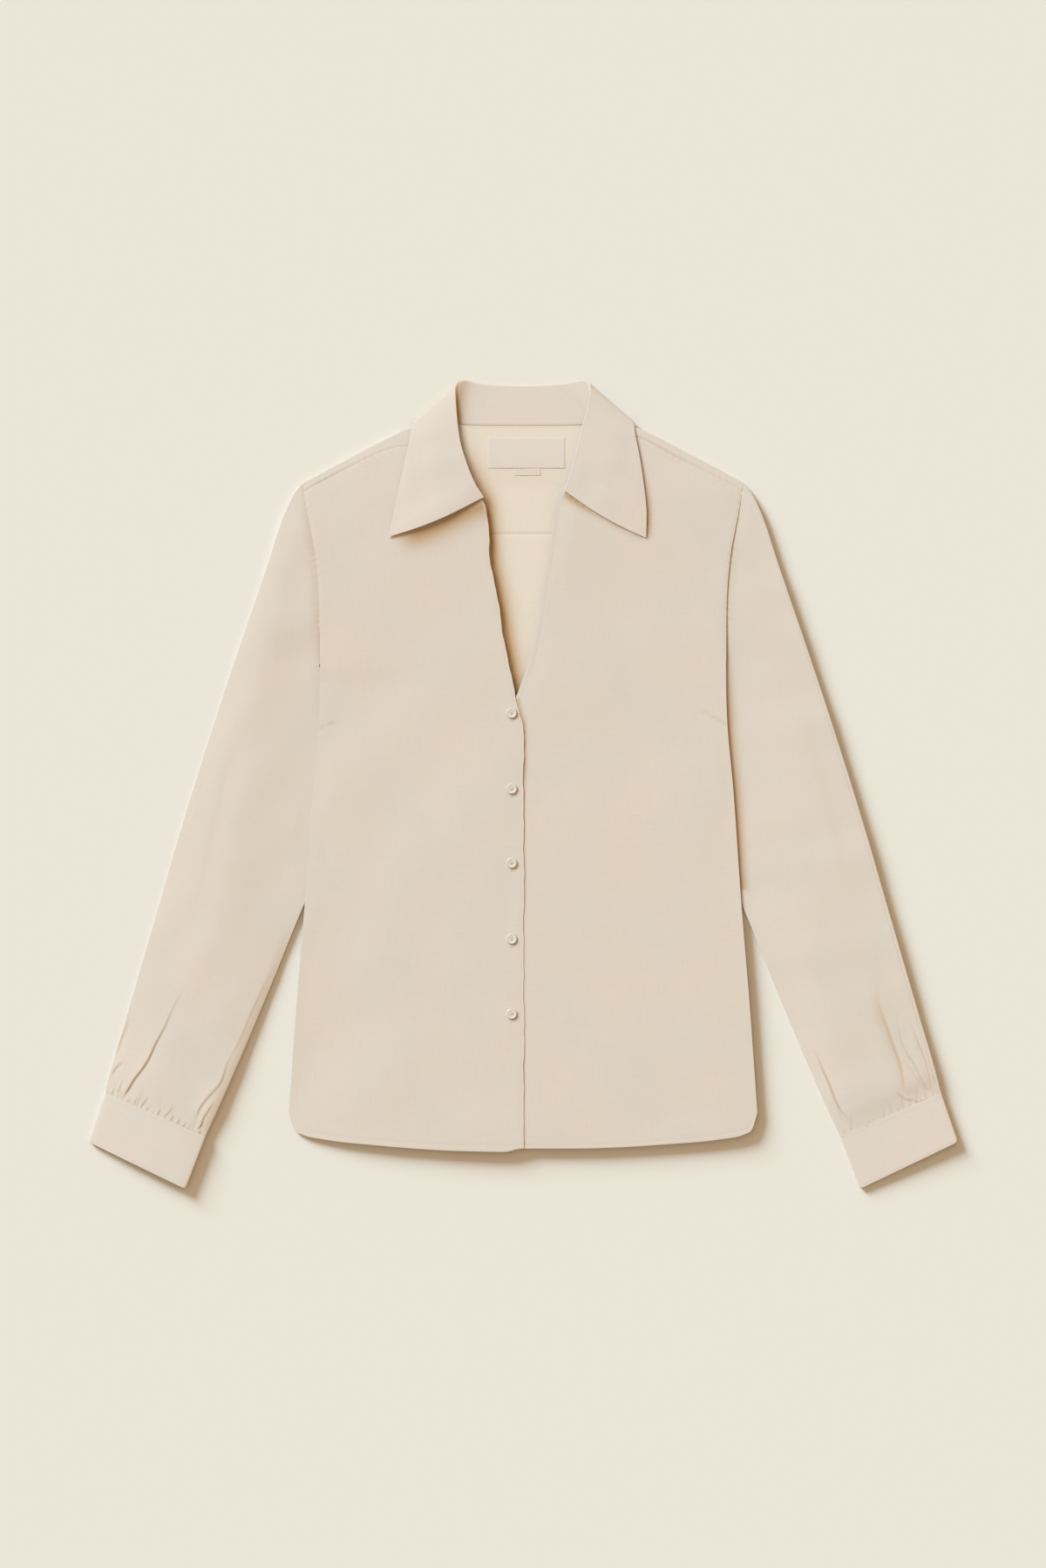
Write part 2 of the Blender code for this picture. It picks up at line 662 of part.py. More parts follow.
def collar_section(station, radius):
    """The middle of the collar's wall from the neck seam over the roll to the outer edge."""
    seam, roll, edge = station[0:3], station[3:6], station[6:9]
    turn = math.radians(station[9])
    along = roll - seam
    along /= np.linalg.norm(along)
    level = np.cross(along, (0.0, 0.0, 1.0))
    level /= np.linalg.norm(level)
    rise = np.cross(level, along)
    across = math.sin(turn) * rise + math.cos(turn) * level
    centre = roll - along * radius
    points = [between(seam, centre - across * radius, i / STAND_STEPS) for i in range(STAND_STEPS)]
    for angle in (-90, -45, 0, 45, 90):
        a = math.radians(angle)
        points.append(centre + radius * (math.cos(a) * along + math.sin(a) * across))
    last = points[-1]
    points += [between(last, edge, i / FALL_STEPS) for i in range(1, FALL_STEPS + 1)]
    return points


def lay_collar(point, share, round_share, edge, lift):
    """Lays the collar over the front and its shoulder, or beneath the yoke behind it."""
    x, y, z = point
    half = WALL / 2
    if round_share > FOLD_STATION:
        beyond = y - yoke_top(min(x, SHOULDER_TIP)) - FOLD_DEPTH
        most = half + COLLAR_OFF_FLOOR + max(0.0, beyond - BEHIND_FROM) * BEHIND_RISE
        return x, y, min(z, most) if share > BEHIND_SHARE else z
    if y < shoulder(max(x, NECK_SIDE)) and x > edge(min(y, EDGE_OVER[-1][0])) - COLLAR_LAP:
        z = max(z, front_top(x, y) + lift(x) + COLLAR_GAP + half)
    fade = 1.0 - smooth((round_share - ARCH_ENDS[0]) / (ARCH_ENDS[1] - ARCH_ENDS[0]))
    return x, y, z + FALL_ARCH * math.sin(math.pi * share) * fade


def make_collar():
    """The collar, from the upper front's point round the back to the under front's."""
    over, under = collar_curve(COLLAR_OVER), collar_curve(COLLAR_UNDER)
    rows = [collar_row(over(s), s, curve(EDGE_OVER), over_lift) for s in COLLAR_STATIONS]
    rows = [[(-x, y, z) for x, y, z in row] for row in rows]
    back_round = reversed(COLLAR_STATIONS[:-1])
    rows += [collar_row(under(s), s, curve(EDGE_UNDER), no_lift) for s in back_round]
    bm = bmesh.new()
    add_rows(bm, rows, 1)
    collar = add_object("collar", bm, BAND, WALL)
    collar.modifiers["wall"].offset = 0.0
    collar.modifiers["wall"].use_even_offset = False


def collar_curve(table):
    """A collar table as one smooth line of seam, roll, outer edge and turn."""
    return curve([(s, *seam, *roll, *edge, turn) for s, seam, roll, edge, turn in table])


def collar_row(station, round_share, edge, lift):
    """One laid section of the collar."""
    from_corner = abs(round_share - FOLD_STATION) / CORNER_REACH
    radius = ROLL_RADIUS + CORNER_ROLL * smooth(1.0 - from_corner)
    points = collar_section(station, radius)
    first_fall = len(points) - FALL_STEPS - 1
    row = []
    for i, point in enumerate(points):
        share = max(0.0, (i - first_fall) / FALL_STEPS)
        x, y, z = lay_collar(point, share, round_share, edge, lift)
        y -= END_BOW * math.sin(math.pi * share) * smooth(1.0 - round_share / END_REACH)
        row.append((x, y, z))
    return row


def make_buttons():
    """The buttons, turned from one profile and laid along the buttoned edge."""
    for number, up in enumerate(BUTTON_HEIGHTS, 1):
        bm = bmesh.new()
        profile = [bm.verts.new((r, 0.0, z)) for r, z in BUTTON_PROFILE]
        edges = [bm.edges.new(pair) for pair in zip(profile, profile[1:])]
        bmesh.ops.spin(
            bm,
            geom=profile + edges,
            axis=(0.0, 0.0, 1.0),
            cent=(0.0, 0.0, 0.0),
            angle=2.0 * math.pi,
            steps=BUTTON_SIDES,
            use_merge=True,
        )
        bmesh.ops.remove_doubles(bm, verts=bm.verts[:], dist=MERGE)
        bmesh.ops.recalc_face_normals(bm, faces=bm.faces[:])
        button = add_object(f"button_{number}", bm, PEARL)
        seat = front_top(-BUTTON_X, up) + over_lift(-BUTTON_X)
        button.location = (BUTTON_X, up, seat + LAY_GAP)


def make_label(name, place, finish):
    """A bare label lying on the yoke inside the neck."""
    (x, y), width, height = place
    up_steps, out_steps = LABEL_STEPS
    rows = []
    for up in np.linspace(y - height / 2, y + height / 2, up_steps):
        row = []
        for out in np.linspace(x - width / 2, x + width / 2, out_steps):
            row.append((out, up, underside(out, up) + WALL + LAY_GAP))
        rows.append(row)
    label = add_panel(name, rows)
    label.data.materials[0] = material(finish)


def main():
    """Makes every piece of the blouse."""
    for obj in list(bpy.data.objects):
        bpy.data.objects.remove(obj)
    make_back()
    make_yoke()
    make_front("front_right", -1, curve(EDGE_OVER), over_lift)
    make_front("front_left", 1, curve(EDGE_UNDER), no_lift)
    for name, side in (("right", -1), ("left", 1)):
        make_sleeve(f"sleeve_{name}", side)
        make_cuff(f"cuff_{name}", side)
    make_collar()
    make_buttons()
    make_label("neck_label", NECK_LABEL, TAPE)
    make_label("size_tab", SIZE_TAB, TAPE)


main()
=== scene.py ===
"""Dresses a long-sleeved blouse with an open V neck and a turned-down collar, laid flat.

Metres. +Z is up off the surface it lies on, +Y runs up to the collar and +X towards the
wearer's left sleeve. "Out" is a distance from the middle line towards a piece's own side.
Each piece of cloth is a grid laid over its solid's form, with its folds, gathers, puckers and
seams added, and a wall grown inwards. Stitches and buttons are seated on that cloth.
"""

import logging
import math
from dataclasses import dataclass, field
from enum import Enum
from typing import Callable, Iterator, Optional, Protocol, Sequence

import bmesh
import bpy
import numpy as np
from mathutils import Matrix, Vector
from mathutils.bvhtree import BVHTree

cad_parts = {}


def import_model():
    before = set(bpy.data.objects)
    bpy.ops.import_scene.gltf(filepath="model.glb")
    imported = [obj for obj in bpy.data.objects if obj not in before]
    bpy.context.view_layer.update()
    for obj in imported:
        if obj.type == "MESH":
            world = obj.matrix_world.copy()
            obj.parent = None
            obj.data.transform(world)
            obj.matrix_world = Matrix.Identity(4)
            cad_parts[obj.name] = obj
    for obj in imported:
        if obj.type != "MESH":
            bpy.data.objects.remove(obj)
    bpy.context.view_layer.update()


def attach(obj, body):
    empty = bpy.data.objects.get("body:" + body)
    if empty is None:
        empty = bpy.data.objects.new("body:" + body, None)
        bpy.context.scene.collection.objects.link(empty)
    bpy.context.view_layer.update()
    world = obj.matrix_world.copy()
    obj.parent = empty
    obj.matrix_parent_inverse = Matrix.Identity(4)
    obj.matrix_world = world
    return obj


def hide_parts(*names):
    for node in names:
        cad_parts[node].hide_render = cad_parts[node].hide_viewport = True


log = logging.getLogger("blouse")

Array = np.ndarray
Rows = Sequence[tuple[float, ...]]
Point = tuple[float, float]
Points = tuple[Point, ...]
Triple = tuple[float, float, float]
Colour = Triple
Values = dict[str, object]
Socket = bpy.types.NodeSocket
Material = bpy.types.Material
Object = bpy.types.Object
Mesh = bmesh.types.BMesh

BODY = "root"
CLOUDY = (0.35, 0.65)  # the part of a noise's range that is stretched to 0 to 1


def tenths(*numbers: int) -> Points:
    """Points in metres, from each one's two numbers in tenths of a millimetre.

    Args:
        numbers: the points' numbers, one point after the other.

    Returns:
        The points.
    """
    metres = [number / 10000 for number in numbers]
    return tuple(zip(metres[::2], metres[1::2]))


class Side(Enum):
    """The wearer's side a piece is on, by the sign of its X."""

    RIGHT = -1
    LEFT = 1


class Held(Enum):
    """How a sheet of cloth is held."""

    LAID = "laid"
    FOLDED = "folded"


def smooth(t: Array) -> Array:
    """0 to 1 with no corner at either end."""
    t = np.clip(t, 0.0, 1.0)
    return t * t * (3.0 - 2.0 * t)


def between(a: Array, b: Array, share: Array) -> Array:
    """The value at a share of the way from a to b."""
    return a + (b - a) * share


def hump(t: Array) -> Array:
    """A bell of height 1 at 0, nearly flat beyond 2."""
    return np.exp(-np.square(t))


class Line:
    """A smooth line through rows of (station, value, ...) that never swings past them."""

    def __init__(self, rows: Rows) -> None:
        """Fits the line.

        Args:
            rows: one row for each point, its station first.
        """
        table = np.array(rows, float)
        self.at, self.values = table[:, 0], table[:, 1:]
        slope = np.diff(self.values, axis=0) / np.diff(self.at)[:, None]
        tangent = np.vstack([slope[:1], (slope[1:] + slope[:-1]) / 2, slope[-1:]])
        limit = 3 * np.minimum(abs(slope[1:]), abs(slope[:-1])) * (slope[1:] * slope[:-1] > 0)
        tangent[1:-1] = np.clip(tangent[1:-1], -limit, limit)
        self.tangent = tangent

    def __call__(self, t: Array) -> Array:
        """The line at a station or an array of them.

        Args:
            t: the stations.

        Returns:
            One value for each station, or one row where the line has several columns.
        """
        t = np.asarray(t, float)
        i = np.clip(np.searchsorted(self.at, t) - 1, 0, len(self.at) - 2)
        step = (self.at[i + 1] - self.at[i])[..., None]
        w = np.clip((t - self.at[i])[..., None] / step, 0.0, 1.0)
        found = (
            (1 + 2 * w) * (1 - w) ** 2 * self.values[i]
            + w * (1 - w) ** 2 * step * self.tangent[i]
            + w * w * (3 - 2 * w) * self.values[i + 1]
            + w * w * (w - 1) * step * self.tangent[i + 1]
        )
        return found if found.shape[-1] > 1 else found[..., 0]


@dataclass(frozen=True)
class Track:
    """A bent line on the cloth, and where any point lies along and beside it."""

    points: Points
    steps: int = 40

    def samples(self) -> Array:
        """Points evenly along the line, smoothed through its own."""
        line = Line([(float(i), *p) for i, p in enumerate(self.points)])
        fine = line(np.linspace(0, len(self.points) - 1, 4 * self.steps))
        far = self.lengths(fine)
        even = np.linspace(0, far[-1], self.steps)
        return np.column_stack([np.interp(even, far, fine[:, 0]), np.interp(even, far, fine[:, 1])])

    @staticmethod
    def lengths(points: Array) -> Array:
        """The distance along a row of points at each of them."""
        return np.concatenate([[0.0], np.cumsum(np.hypot(*np.diff(points, axis=0).T))])

    def locate(self, out: Array, up: Array) -> tuple[Array, Array, float]:
        """Where points lie on the line.

        Args:
            out: their distances out.
            up: their heights.

        Returns:
            The distance along the line, the signed distance beside it, and its length.
        """
        points = self.samples()
        far = self.lengths(points)
        best = np.full(out.shape, np.inf)
        along, beside = np.zeros(out.shape), np.zeros(out.shape)
        for a, b, start in zip(points, points[1:], far):
            leg = b - a
            length = math.hypot(*leg)
            dx, dy = out - a[0], up - a[1]
            t = np.clip((dx * leg[0] + dy * leg[1]) / length**2, 0.0, 1.0)
            away = np.hypot(dx - t * leg[0], dy - t * leg[1])
            sign = np.sign(leg[0] * dy - leg[1] * dx)
            nearer = away < best
            best = np.where(nearer, away, best)
            along = np.where(nearer, start + t * length, along)
            beside = np.where(nearer, away * sign, beside)
        return along, beside, float(far[-1])


@dataclass(frozen=True)
class Crease:
    """A fold in the cloth, where one side rides up over the other, with shade painted along it, fading at
    both ends.
    """

    points: Points
    height: float
    reach: float  # how far from its line the cloth lies level again
    lean: int = 1  # 1 where the higher side is left of the line as it runs, -1 right
    fade: Point = (0.5, 0.15)  # the share of its length in which it fades in and out
    shade: float = 0.5  # how dark the painted shade in the fold is
    steep: float = 0.0006  # half the width in which it steps up
    shade_width: float = 0.0009
    run_on: float = 0.02  # the share of its length by which it runs past its ends

    def worked(self, out: Array, up: Array) -> tuple[Array, Array]:
        """The height it adds at each point, and the shade painted there in the fold."""
        along, beside, length = Track(self.points).locate(out, up)
        share = along / length
        begun = smooth((share + self.run_on) / self.fade[0])
        strength = begun * smooth((1.0 + self.run_on - share) / self.fade[1])
        across = self.lean * beside
        step = self.height * np.tanh(across / self.steep) * hump(across / self.reach)
        # painted shade along the fold's foot
        shade = self.shade * hump((across + 0.5 * self.steep) / self.shade_width)
        return strength * step, strength * shade


@dataclass(frozen=True)
class Puckers:
    """The small ripples that a seam draws into the cloth beside it."""

    points: Points
    depth: float
    pitch: float
    reach: float
    seed: int
    slant: float = 0.7
    wanders: tuple[float, ...] = (1.1, 0.7, 0.5)  # how far slow waves shift the ripples
    end_fade: float = 0.08  # the share of its length in which they fade at each end
    # how dark the shade painted between the ripples is
    darkness: float = 0.14

    def worked(self, out: Array, up: Array) -> tuple[Array, Array]:
        """The height they add at each point, and the shade painted between them."""
        draw = np.random.RandomState(self.seed)
        along, beside, length = Track(self.points).locate(out, up)
        near = hump(beside / self.reach)
        at = (along + self.slant * abs(beside)) / self.pitch
        wander = sum(
            a * np.sin(at * f + p)
            for a, f, p in zip(self.wanders, draw.uniform(0.3, 1.6, 3), draw.uniform(0, 6.3, 3))
        )
        strong = 0.55 + 0.45 * np.sin(at * draw.uniform(0.5, 0.9) + draw.uniform(0, 6.3))
        fade = self.end_fade * length
        ends = smooth(along / fade) * smooth((length - along) / fade)
        ripple = near * ends * strong * np.sin(2.0 * math.pi * at + wander)
        return self.depth * ripple, self.darkness * np.clip(-ripple, 0.0, 1.0)


@dataclass(frozen=True)
class PaintedShadow:
    """A shadow painted as a warm, darker tone on pale cloth below an edge that stands over it."""

    points: Points
    reach: float
    shade: float
    side: int = 1  # 1 where it lies left of the line as it runs, -1 right
    ends: Point = (0.1, 0.1)  # the share of its length in which it fades in and out
    near: float = 0.001  # how far the edge's own cast shadow reaches, where less painted shadow is needed
    under: float = 0.002  # how far it runs on beneath the edge
    least: float = 0.40  # the share of the painted shadow right at the edge

    def worked(self, out: Array, up: Array) -> tuple[Array, Array]:
        """No height, and how strong the painted shadow is at each point."""
        along, beside, length = Track(self.points).locate(out, up)
        share = along / length
        beyond = self.side * beside
        fade = smooth(share / self.ends[0]) * smooth((1.0 - share) / self.ends[1])
        tone = hump(np.maximum(beyond, 0.0) / self.reach) * smooth(1.0 + beyond / self.under)
        shadowed = between(self.least, 1.0, smooth(beyond / self.near))
        return np.zeros(out.shape), self.shade * fade * tone * shadowed


class Fold(Protocol):
    """Anything that is worked into the cloth beside a line."""

    def worked(self, out: Array, up: Array) -> tuple[Array, Array]:
        """The height it adds at each point, and the shade painted on the cloth there."""


def together(folds: Sequence[Fold], out: Array, up: Array) -> tuple[Array, Array]:
    """The heights and the painted shade of several folds, added up."""
    height, painted_shade = np.zeros(out.shape), np.zeros(out.shape)
    for fold in folds:
        # each fold's height, and the shade it paints
        rise, deep = fold.worked(out, up)
        height, painted_shade = height + rise, painted_shade + deep
    return height, painted_shade


def rounded(turn: Array, square: float) -> tuple[Array, Array]:
    """A place on a fold's rounded edge, squarer than a circle: across it and up it."""
    across, level = np.cos(turn), np.sin(turn)
    return np.sign(across) * abs(across) ** square, np.sign(level) * abs(level) ** square


def flattened(
    u: Array, width: Array, ends: Sequence[float], stops: Sequence[float], square: float
) -> tuple[Array, Array]:
    """Where vertices lie round a flattened tube.

    Args:
        u: how far round each is, 0 to 1, from the outer fold over the top.
        width: the flat width.
        ends: half the height at the outer and the inner fold.
        stops: how far round the top, the inner fold and the underside end.
        square: how square the folds' edges are, 1 for round.

    Returns:
        The distance across, and the level, 1 on top to -1 beneath.
    """
    first, last = ends
    a, b, c = stops
    top = between(first, width - last, np.clip(u / a, 0, 1))
    under = between(width - last, first, np.clip((u - b) / (c - b), 0, 1))
    inner_far, inner_level = rounded(math.pi * (0.5 - np.clip((u - a) / (b - a), 0, 1)), square)
    outer_far, outer_level = rounded(math.pi * (-0.5 - np.clip((u - c) / (1 - c), 0, 1)), square)
    where = [u <= a, u <= b, u <= c]
    far = np.select(where, [top, width - last + last * inner_far, under], first + first * outer_far)
    level = np.select(where, [np.ones_like(u), inner_level, -np.ones_like(u)], outer_level)
    return far, level


def by_row(v: Array) -> Iterator[tuple[float, Array]]:
    """Each row of a grid.

    Args:
        v: how far along the grid each vertex is, 0 to 1.

    Yields:
        The row's place along the grid, and its vertices' numbers.
    """
    places, row_of = np.unique(np.round(v, 6), return_inverse=True)
    order = np.argsort(row_of, kind="stable")
    starts = np.searchsorted(row_of[order], np.arange(len(places) + 1))
    for place, start, end in zip(places, starts, starts[1:]):
        yield place, order[start:end]


@dataclass(frozen=True)
class Undulation:
    """Broad, shallow unevenness, as cloth smoothed out by hand has."""

    height: float
    longest: float
    seed: int
    waves: int = 9

    def relief(self, out: Array, up: Array) -> Array:
        """The height it adds at each point."""
        draw = np.random.RandomState(self.seed)
        found = np.zeros(out.shape)
        for _ in range(self.waves):
            turn = draw.uniform(0, math.pi)
            reach = self.longest * draw.uniform(0.35, 1.0)
            phase = draw.uniform(0, 2 * math.pi)
            level = math.cos(turn) * out + math.sin(turn) * up
            found += math.sqrt(reach / self.longest) * np.sin(2 * math.pi * level / reach + phase)
        return self.height * found / math.sqrt(self.waves)


@dataclass
class Layout:
    """Where the blouse lies: the outlines and levels that its pieces share."""

    wall: float = 0.0010
    lay_gap: float = 0.0004
    half_widths: Rows = tenths(
        -3010, 2150, -2030, 2080, -1120, 2005, -30, 1928, 570, 1874, 1100, 1863, 1600, 1866, 2100, 1903,
        2490, 1976, 2770, 2024,
    )
    armpit: float = 0.1100
    side_foot: float = -0.3010
    yoke_seam: float = 0.2310
    hems: Rows = (
        (0.000, -0.3365), (0.330, -0.3352), (0.620, -0.3310), (0.860, -0.3255), (0.945, -0.3212),
        (0.980, -0.3155), (1.000, -0.3010),
    )
    shoulders: Rows = tenths(760, 3335, 900, 3310, 1060, 3268, 1490, 3056, 2024, 2770)
    neck_side: float = 0.0760
    shoulder_tip: float = 0.2024
    back_necks: Rows = tenths(0, 3308, 400, 3310, 760, 3321)
    strips: tuple[Rows, Rows] = (
        tenths(900, 185, 1090, 150, 1250, 112, 1570, 82, 2024, 72),
        tenths(900, 68, 1020, 68, 1360, 82, 1760, 86, 2024, 72),
    )
    fold_depth: float = 0.0022
    front_level: float = 0.0060
    least_top: Point = (0.0018, 0.0060)  # above the back's underside at each front's side
    side_rise: float = 0.1100
    shoulder_level: Point = (0.0034, 0.0040)  # at each shoulder's fold
    shoulder_rise: float = 0.0800
    lapped: float = 0.0009
    neck_stand: float = 0.0006
    neck_at: Point = (0.0360, 0.2500)
    neck_reach: float = 0.0750
    lap_ramp: Point = (0.1100, 0.0225)
    tucks: Rows = tenths(
        -3230, 2914, -3015, 2812, -2440, 2560, -1725, 2262, -1200, 2050, -800, 1860, -450, 1670,
        -160, 1540, 150, 1520, 450, 1630, 620, 1720, 800, 1800, 930, 1834, 1045, 1850, 2000, 2900,
    )
    tucked: float = 0.0028
    tuck_margin: float = 0.0060
    tuck_ramp: float = 0.0700
    under_yoke: float = 0.0016
    under_yoke_edge: Point = (0.2680, 0.3050)
    under_yoke_end: Point = (0.1040, 0.1180)

    def __post_init__(self) -> None:
        """Fits the outlines' smooth lines."""
        self.half_width = Line(self.half_widths)
        self.hem = Line(self.hems)
        self.shoulder = Line(self.shoulders)
        self.back_neck = Line(self.back_necks)
        self.strip = {side: Line(rows) for side, rows in zip(Side, self.strips)}
        self.tuck_fold = Line(self.tucks)

    def underside(self, out: Array, up: Array) -> Array:
        """The lower face of the back and yoke: on the surface, over a sleeve or the collar."""
        out = np.abs(out)
        full = self.tuck_fold(up) - self.tuck_margin
        over_sleeve = (self.tucked + self.lay_gap) * smooth((out - full) / self.tuck_ramp + 1.0)
        low, high = self.under_yoke_edge
        near, far = self.under_yoke_end
        rise = smooth((up - low) / (high - low)) * smooth((far - out) / (far - near))
        return np.maximum(over_sleeve, self.under_yoke * rise)

    def front_top(self, out: Array, up: Array, side: Side) -> Array:
        """A front's upper face where nothing lies between it and the back: level but for its side."""
        which = 0 if side is Side.RIGHT else 1
        low = np.minimum(self.underside(out, up) + self.least_top[which], self.front_level)
        low = between(low, self.front_level, smooth((up - self.armpit) / 0.02 + 1.0))
        inward = np.clip((self.half_width(up) - out) / self.side_rise, 0.0, 1.0)
        found = between(low, self.front_level, 1.0 - (1.0 - inward) ** 2)
        down = np.clip((self.shoulder(np.maximum(out, self.neck_side)) - up) / self.shoulder_rise, 0.0, 1.0)
        found = found - (self.front_level - self.shoulder_level[which]) * (1.0 - down) ** 2
        away = np.hypot(out - self.neck_at[0], up - self.neck_at[1])
        return found + self.neck_stand * smooth(1.0 - away / self.neck_reach)

    def lap(self, out: Array) -> Array:
        """How much higher the upper front lies, where it laps the under one."""
        start, full = self.lap_ramp
        return self.lapped * smooth((start - out) / (start - full))

    def shoulder_seam(self, out: Array, side: Side) -> Array:
        """The front edge of the yoke's strip on one side."""
        return self.shoulder(out) - self.strip[side](out)

    def yoke_top(self, out: Array) -> Array:
        """Where the yoke's lower layer ends: the back neckline, then the foot of the fold."""
        fold = self.shoulder(out) - self.fold_depth
        return np.where(out < self.neck_side, self.back_neck(out), fold)


class Nodes:
    """Adds shader nodes to a material and joins them up."""

    def __init__(self, name: str) -> None:
        """Starts a material with its Principled shader."""
        self.material = bpy.data.materials.new(name)
        self.material.use_nodes = True
        self.tree = self.material.node_tree
        self.shader = self.tree.nodes["Principled BSDF"]

    def add(self, kind: str, **settings: object) -> bpy.types.Node:
        """Adds a node.

        Args:
            kind: its type, without the ShaderNode prefix.
            settings: its properties.

        Returns:
            The node.
        """
        node = self.tree.nodes.new("ShaderNode" + kind)
        for key, value in settings.items():
            setattr(node, key, value)
        return node

    def join(self, source: Socket, target: Socket) -> None:
        """Joins an output to an input."""
        self.tree.links.new(source, target)

    def fed(
        self, kind: str, source: Socket, into: str, values: Values, **settings: object
    ) -> bpy.types.Node:
        """Adds a node and joins a source to it.

        Args:
            kind: its type, without the ShaderNode prefix.
            source: the output that feeds it.
            into: the input that it feeds.
            values: what other inputs are set to.
            settings: its properties.

        Returns:
            The node.
        """
        node = self.add(kind, **settings)
        for name, value in values.items():
            node.inputs[name].default_value = value
        self.join(source, node.inputs[into])
        return node

    def stretched(self, source: Socket, scale: tuple) -> Socket:
        """The same coordinates, stretched."""
        return self.fed("Mapping", source, "Vector", {"Scale": scale}).outputs["Vector"]

    def noise(self, source: Socket, scale: float, detail: float) -> Socket:
        """Noise on some coordinates, 0 to 1."""
        values = {"Scale": scale, "Detail": detail}
        return self.fed("TexNoise", source, "Vector", values).outputs["Fac"]

    def wave(self, source: Socket, axis: str, scale: float) -> Socket:
        """Threads running across one axis, 0 to 1."""
        values = {"Scale": scale, "Distortion": 1.2, "Detail Scale": 0.4}
        node = self.fed("TexWave", source, "Vector", values, wave_type="BANDS", bands_direction=axis)
        return node.outputs["Fac"]

    def levels(self, source: Socket, low: float, high: float) -> Socket:
        """A value stretched so that low becomes 0 and high becomes 1."""
        values = {"From Min": low, "From Max": high}
        return self.fed("MapRange", source, "Value", values).outputs["Result"]

    def mixed(self, share: Socket, first: object, second: object, amount: float = 1.0) -> Socket:
        """One colour turned into another by a share.

        Args:
            share: the socket that gives the share.
            first: a socket or a colour.
            second: a socket or a colour.
            amount: how much of the second there is where the share is 1.

        Returns:
            The mixed colour.
        """
        scaled = self.maths("MULTIPLY", share, amount)
        node = self.add("Mix", data_type="RGBA")
        self.join(scaled, node.inputs["Factor"])
        for name, value in (("A", first), ("B", second)):
            target = next(s for s in node.inputs if s.name == name and s.type == "RGBA")
            if isinstance(value, tuple):
                target.default_value = (*value, 1.0)
            else:
                self.join(value, target)
        return next(s for s in node.outputs if s.type == "RGBA")

    def maths(self, operation: str, first: object, second: object) -> Socket:
        """A sum on two sockets or numbers."""
        node = self.add("Math", operation=operation)
        for target, value in zip(node.inputs, (first, second)):
            if isinstance(value, (int, float)):
                target.default_value = value
            else:
                self.join(value, target)
        return node.outputs[0]

    def bump(self, height: Socket, distance: float, strength: float) -> None:
        """Puts a bump on the shader."""
        node = self.fed("Bump", height, "Height", {"Distance": distance, "Strength": strength})
        self.join(node.outputs["Normal"], self.shader.inputs["Normal"])

    def finished(self, values: Values) -> Material:
        """The material, with its shader's inputs set."""
        for name, value in values.items():
            self.shader.inputs[name].default_value = value
        return self.material


def tinted(colour: Colour, by: Colour) -> Colour:
    """A colour with each channel scaled."""
    return tuple(min(1.0, c * b) for c, b in zip(colour, by))


class Finish:
    """A finish whose material is made once and shared."""

    name: str

    def material(self) -> Material:
        """The material."""
        return bpy.data.materials.get(self.name) or self.made()

    def made(self) -> Material:
        """Makes the material."""
        raise NotImplementedError


@dataclass(frozen=True)
class ClothFinish(Finish):
    """Light plain-woven cloth: mottled colour, slubs, a fine weave, and shade painted where its depth
    attribute says.
    """

    name: str
    slot: str
    colour: Colour
    blush: Colour = (1.018, 0.988, 0.975)
    ash: Colour = (0.975, 0.990, 0.985)
    deep: Colour = (0.62, 0.36, 0.10)  # the painted shade colour, towards which the depth attribute turns the cloth
    slub: Colour = (0.88, 0.87, 0.85)
    slub_share: float = 0.55
    slub_levels: Point = (1.02, 1.45)
    weft_stretch: Triple = (45.0, 1400.0, 1.0)
    warp_stretch: Triple = (1500.0, 40.0, 1.0)
    patch_scale: float = 14.0
    cloud_scale: float = 31.0
    cloud_share: float = 0.45
    roughness: float = 0.80
    thread_scale: float = 700.0
    thread_height: float = 0.00006
    slub_height: float = 1.5  # by the height of a thread
    weave: float = 0.22

    def made(self) -> Material:
        """Makes the material."""
        n = Nodes(self.name)
        place = n.add("TexCoord").outputs["Object"]
        grain = n.add("UVMap", uv_map="grain").outputs["UV"]
        patches = n.levels(n.noise(place, self.patch_scale, 2.0), *CLOUDY)
        drifts = n.noise(n.stretched(place, (1.0, 0.6, 1.0)), self.cloud_scale, 2.0)
        clouds = n.levels(drifts, *CLOUDY)
        colour = n.mixed(patches, tinted(self.colour, self.ash), tinted(self.colour, self.blush))
        colour = n.mixed(clouds, colour, tinted(self.colour, self.blush), self.cloud_share)
        weft = n.noise(n.stretched(grain, self.weft_stretch), 1.0, 2.0)
        warp = n.noise(n.stretched(grain, self.warp_stretch), 1.0, 2.0)
        slubs = n.levels(n.maths("ADD", weft, warp), *self.slub_levels)
        colour = n.mixed(slubs, colour, tinted(self.colour, self.slub), self.slub_share)
        # Painted shade: the depth attribute turns the colour towards the painted shade colour, in folds,
        # gathers and below edges
        depth = n.add("Attribute", attribute_name="depth").outputs["Fac"]
        colour = n.mixed(depth, colour, tinted(self.colour, self.deep))
        n.join(colour, n.shader.inputs["Base Color"])
        across, along = (n.wave(grain, axis, self.thread_scale) for axis in "XY")
        threads = n.maths("ADD", across, along)
        raised = n.maths("ADD", threads, n.maths("MULTIPLY", slubs, self.slub_height))
        n.bump(raised, self.thread_height, self.weave)
        return n.finished({
            "Roughness": self.roughness,
            "Specular IOR Level": 0.25,
            "Sheen Weight": 0.12,
            "Sheen Roughness": 0.45,
        })


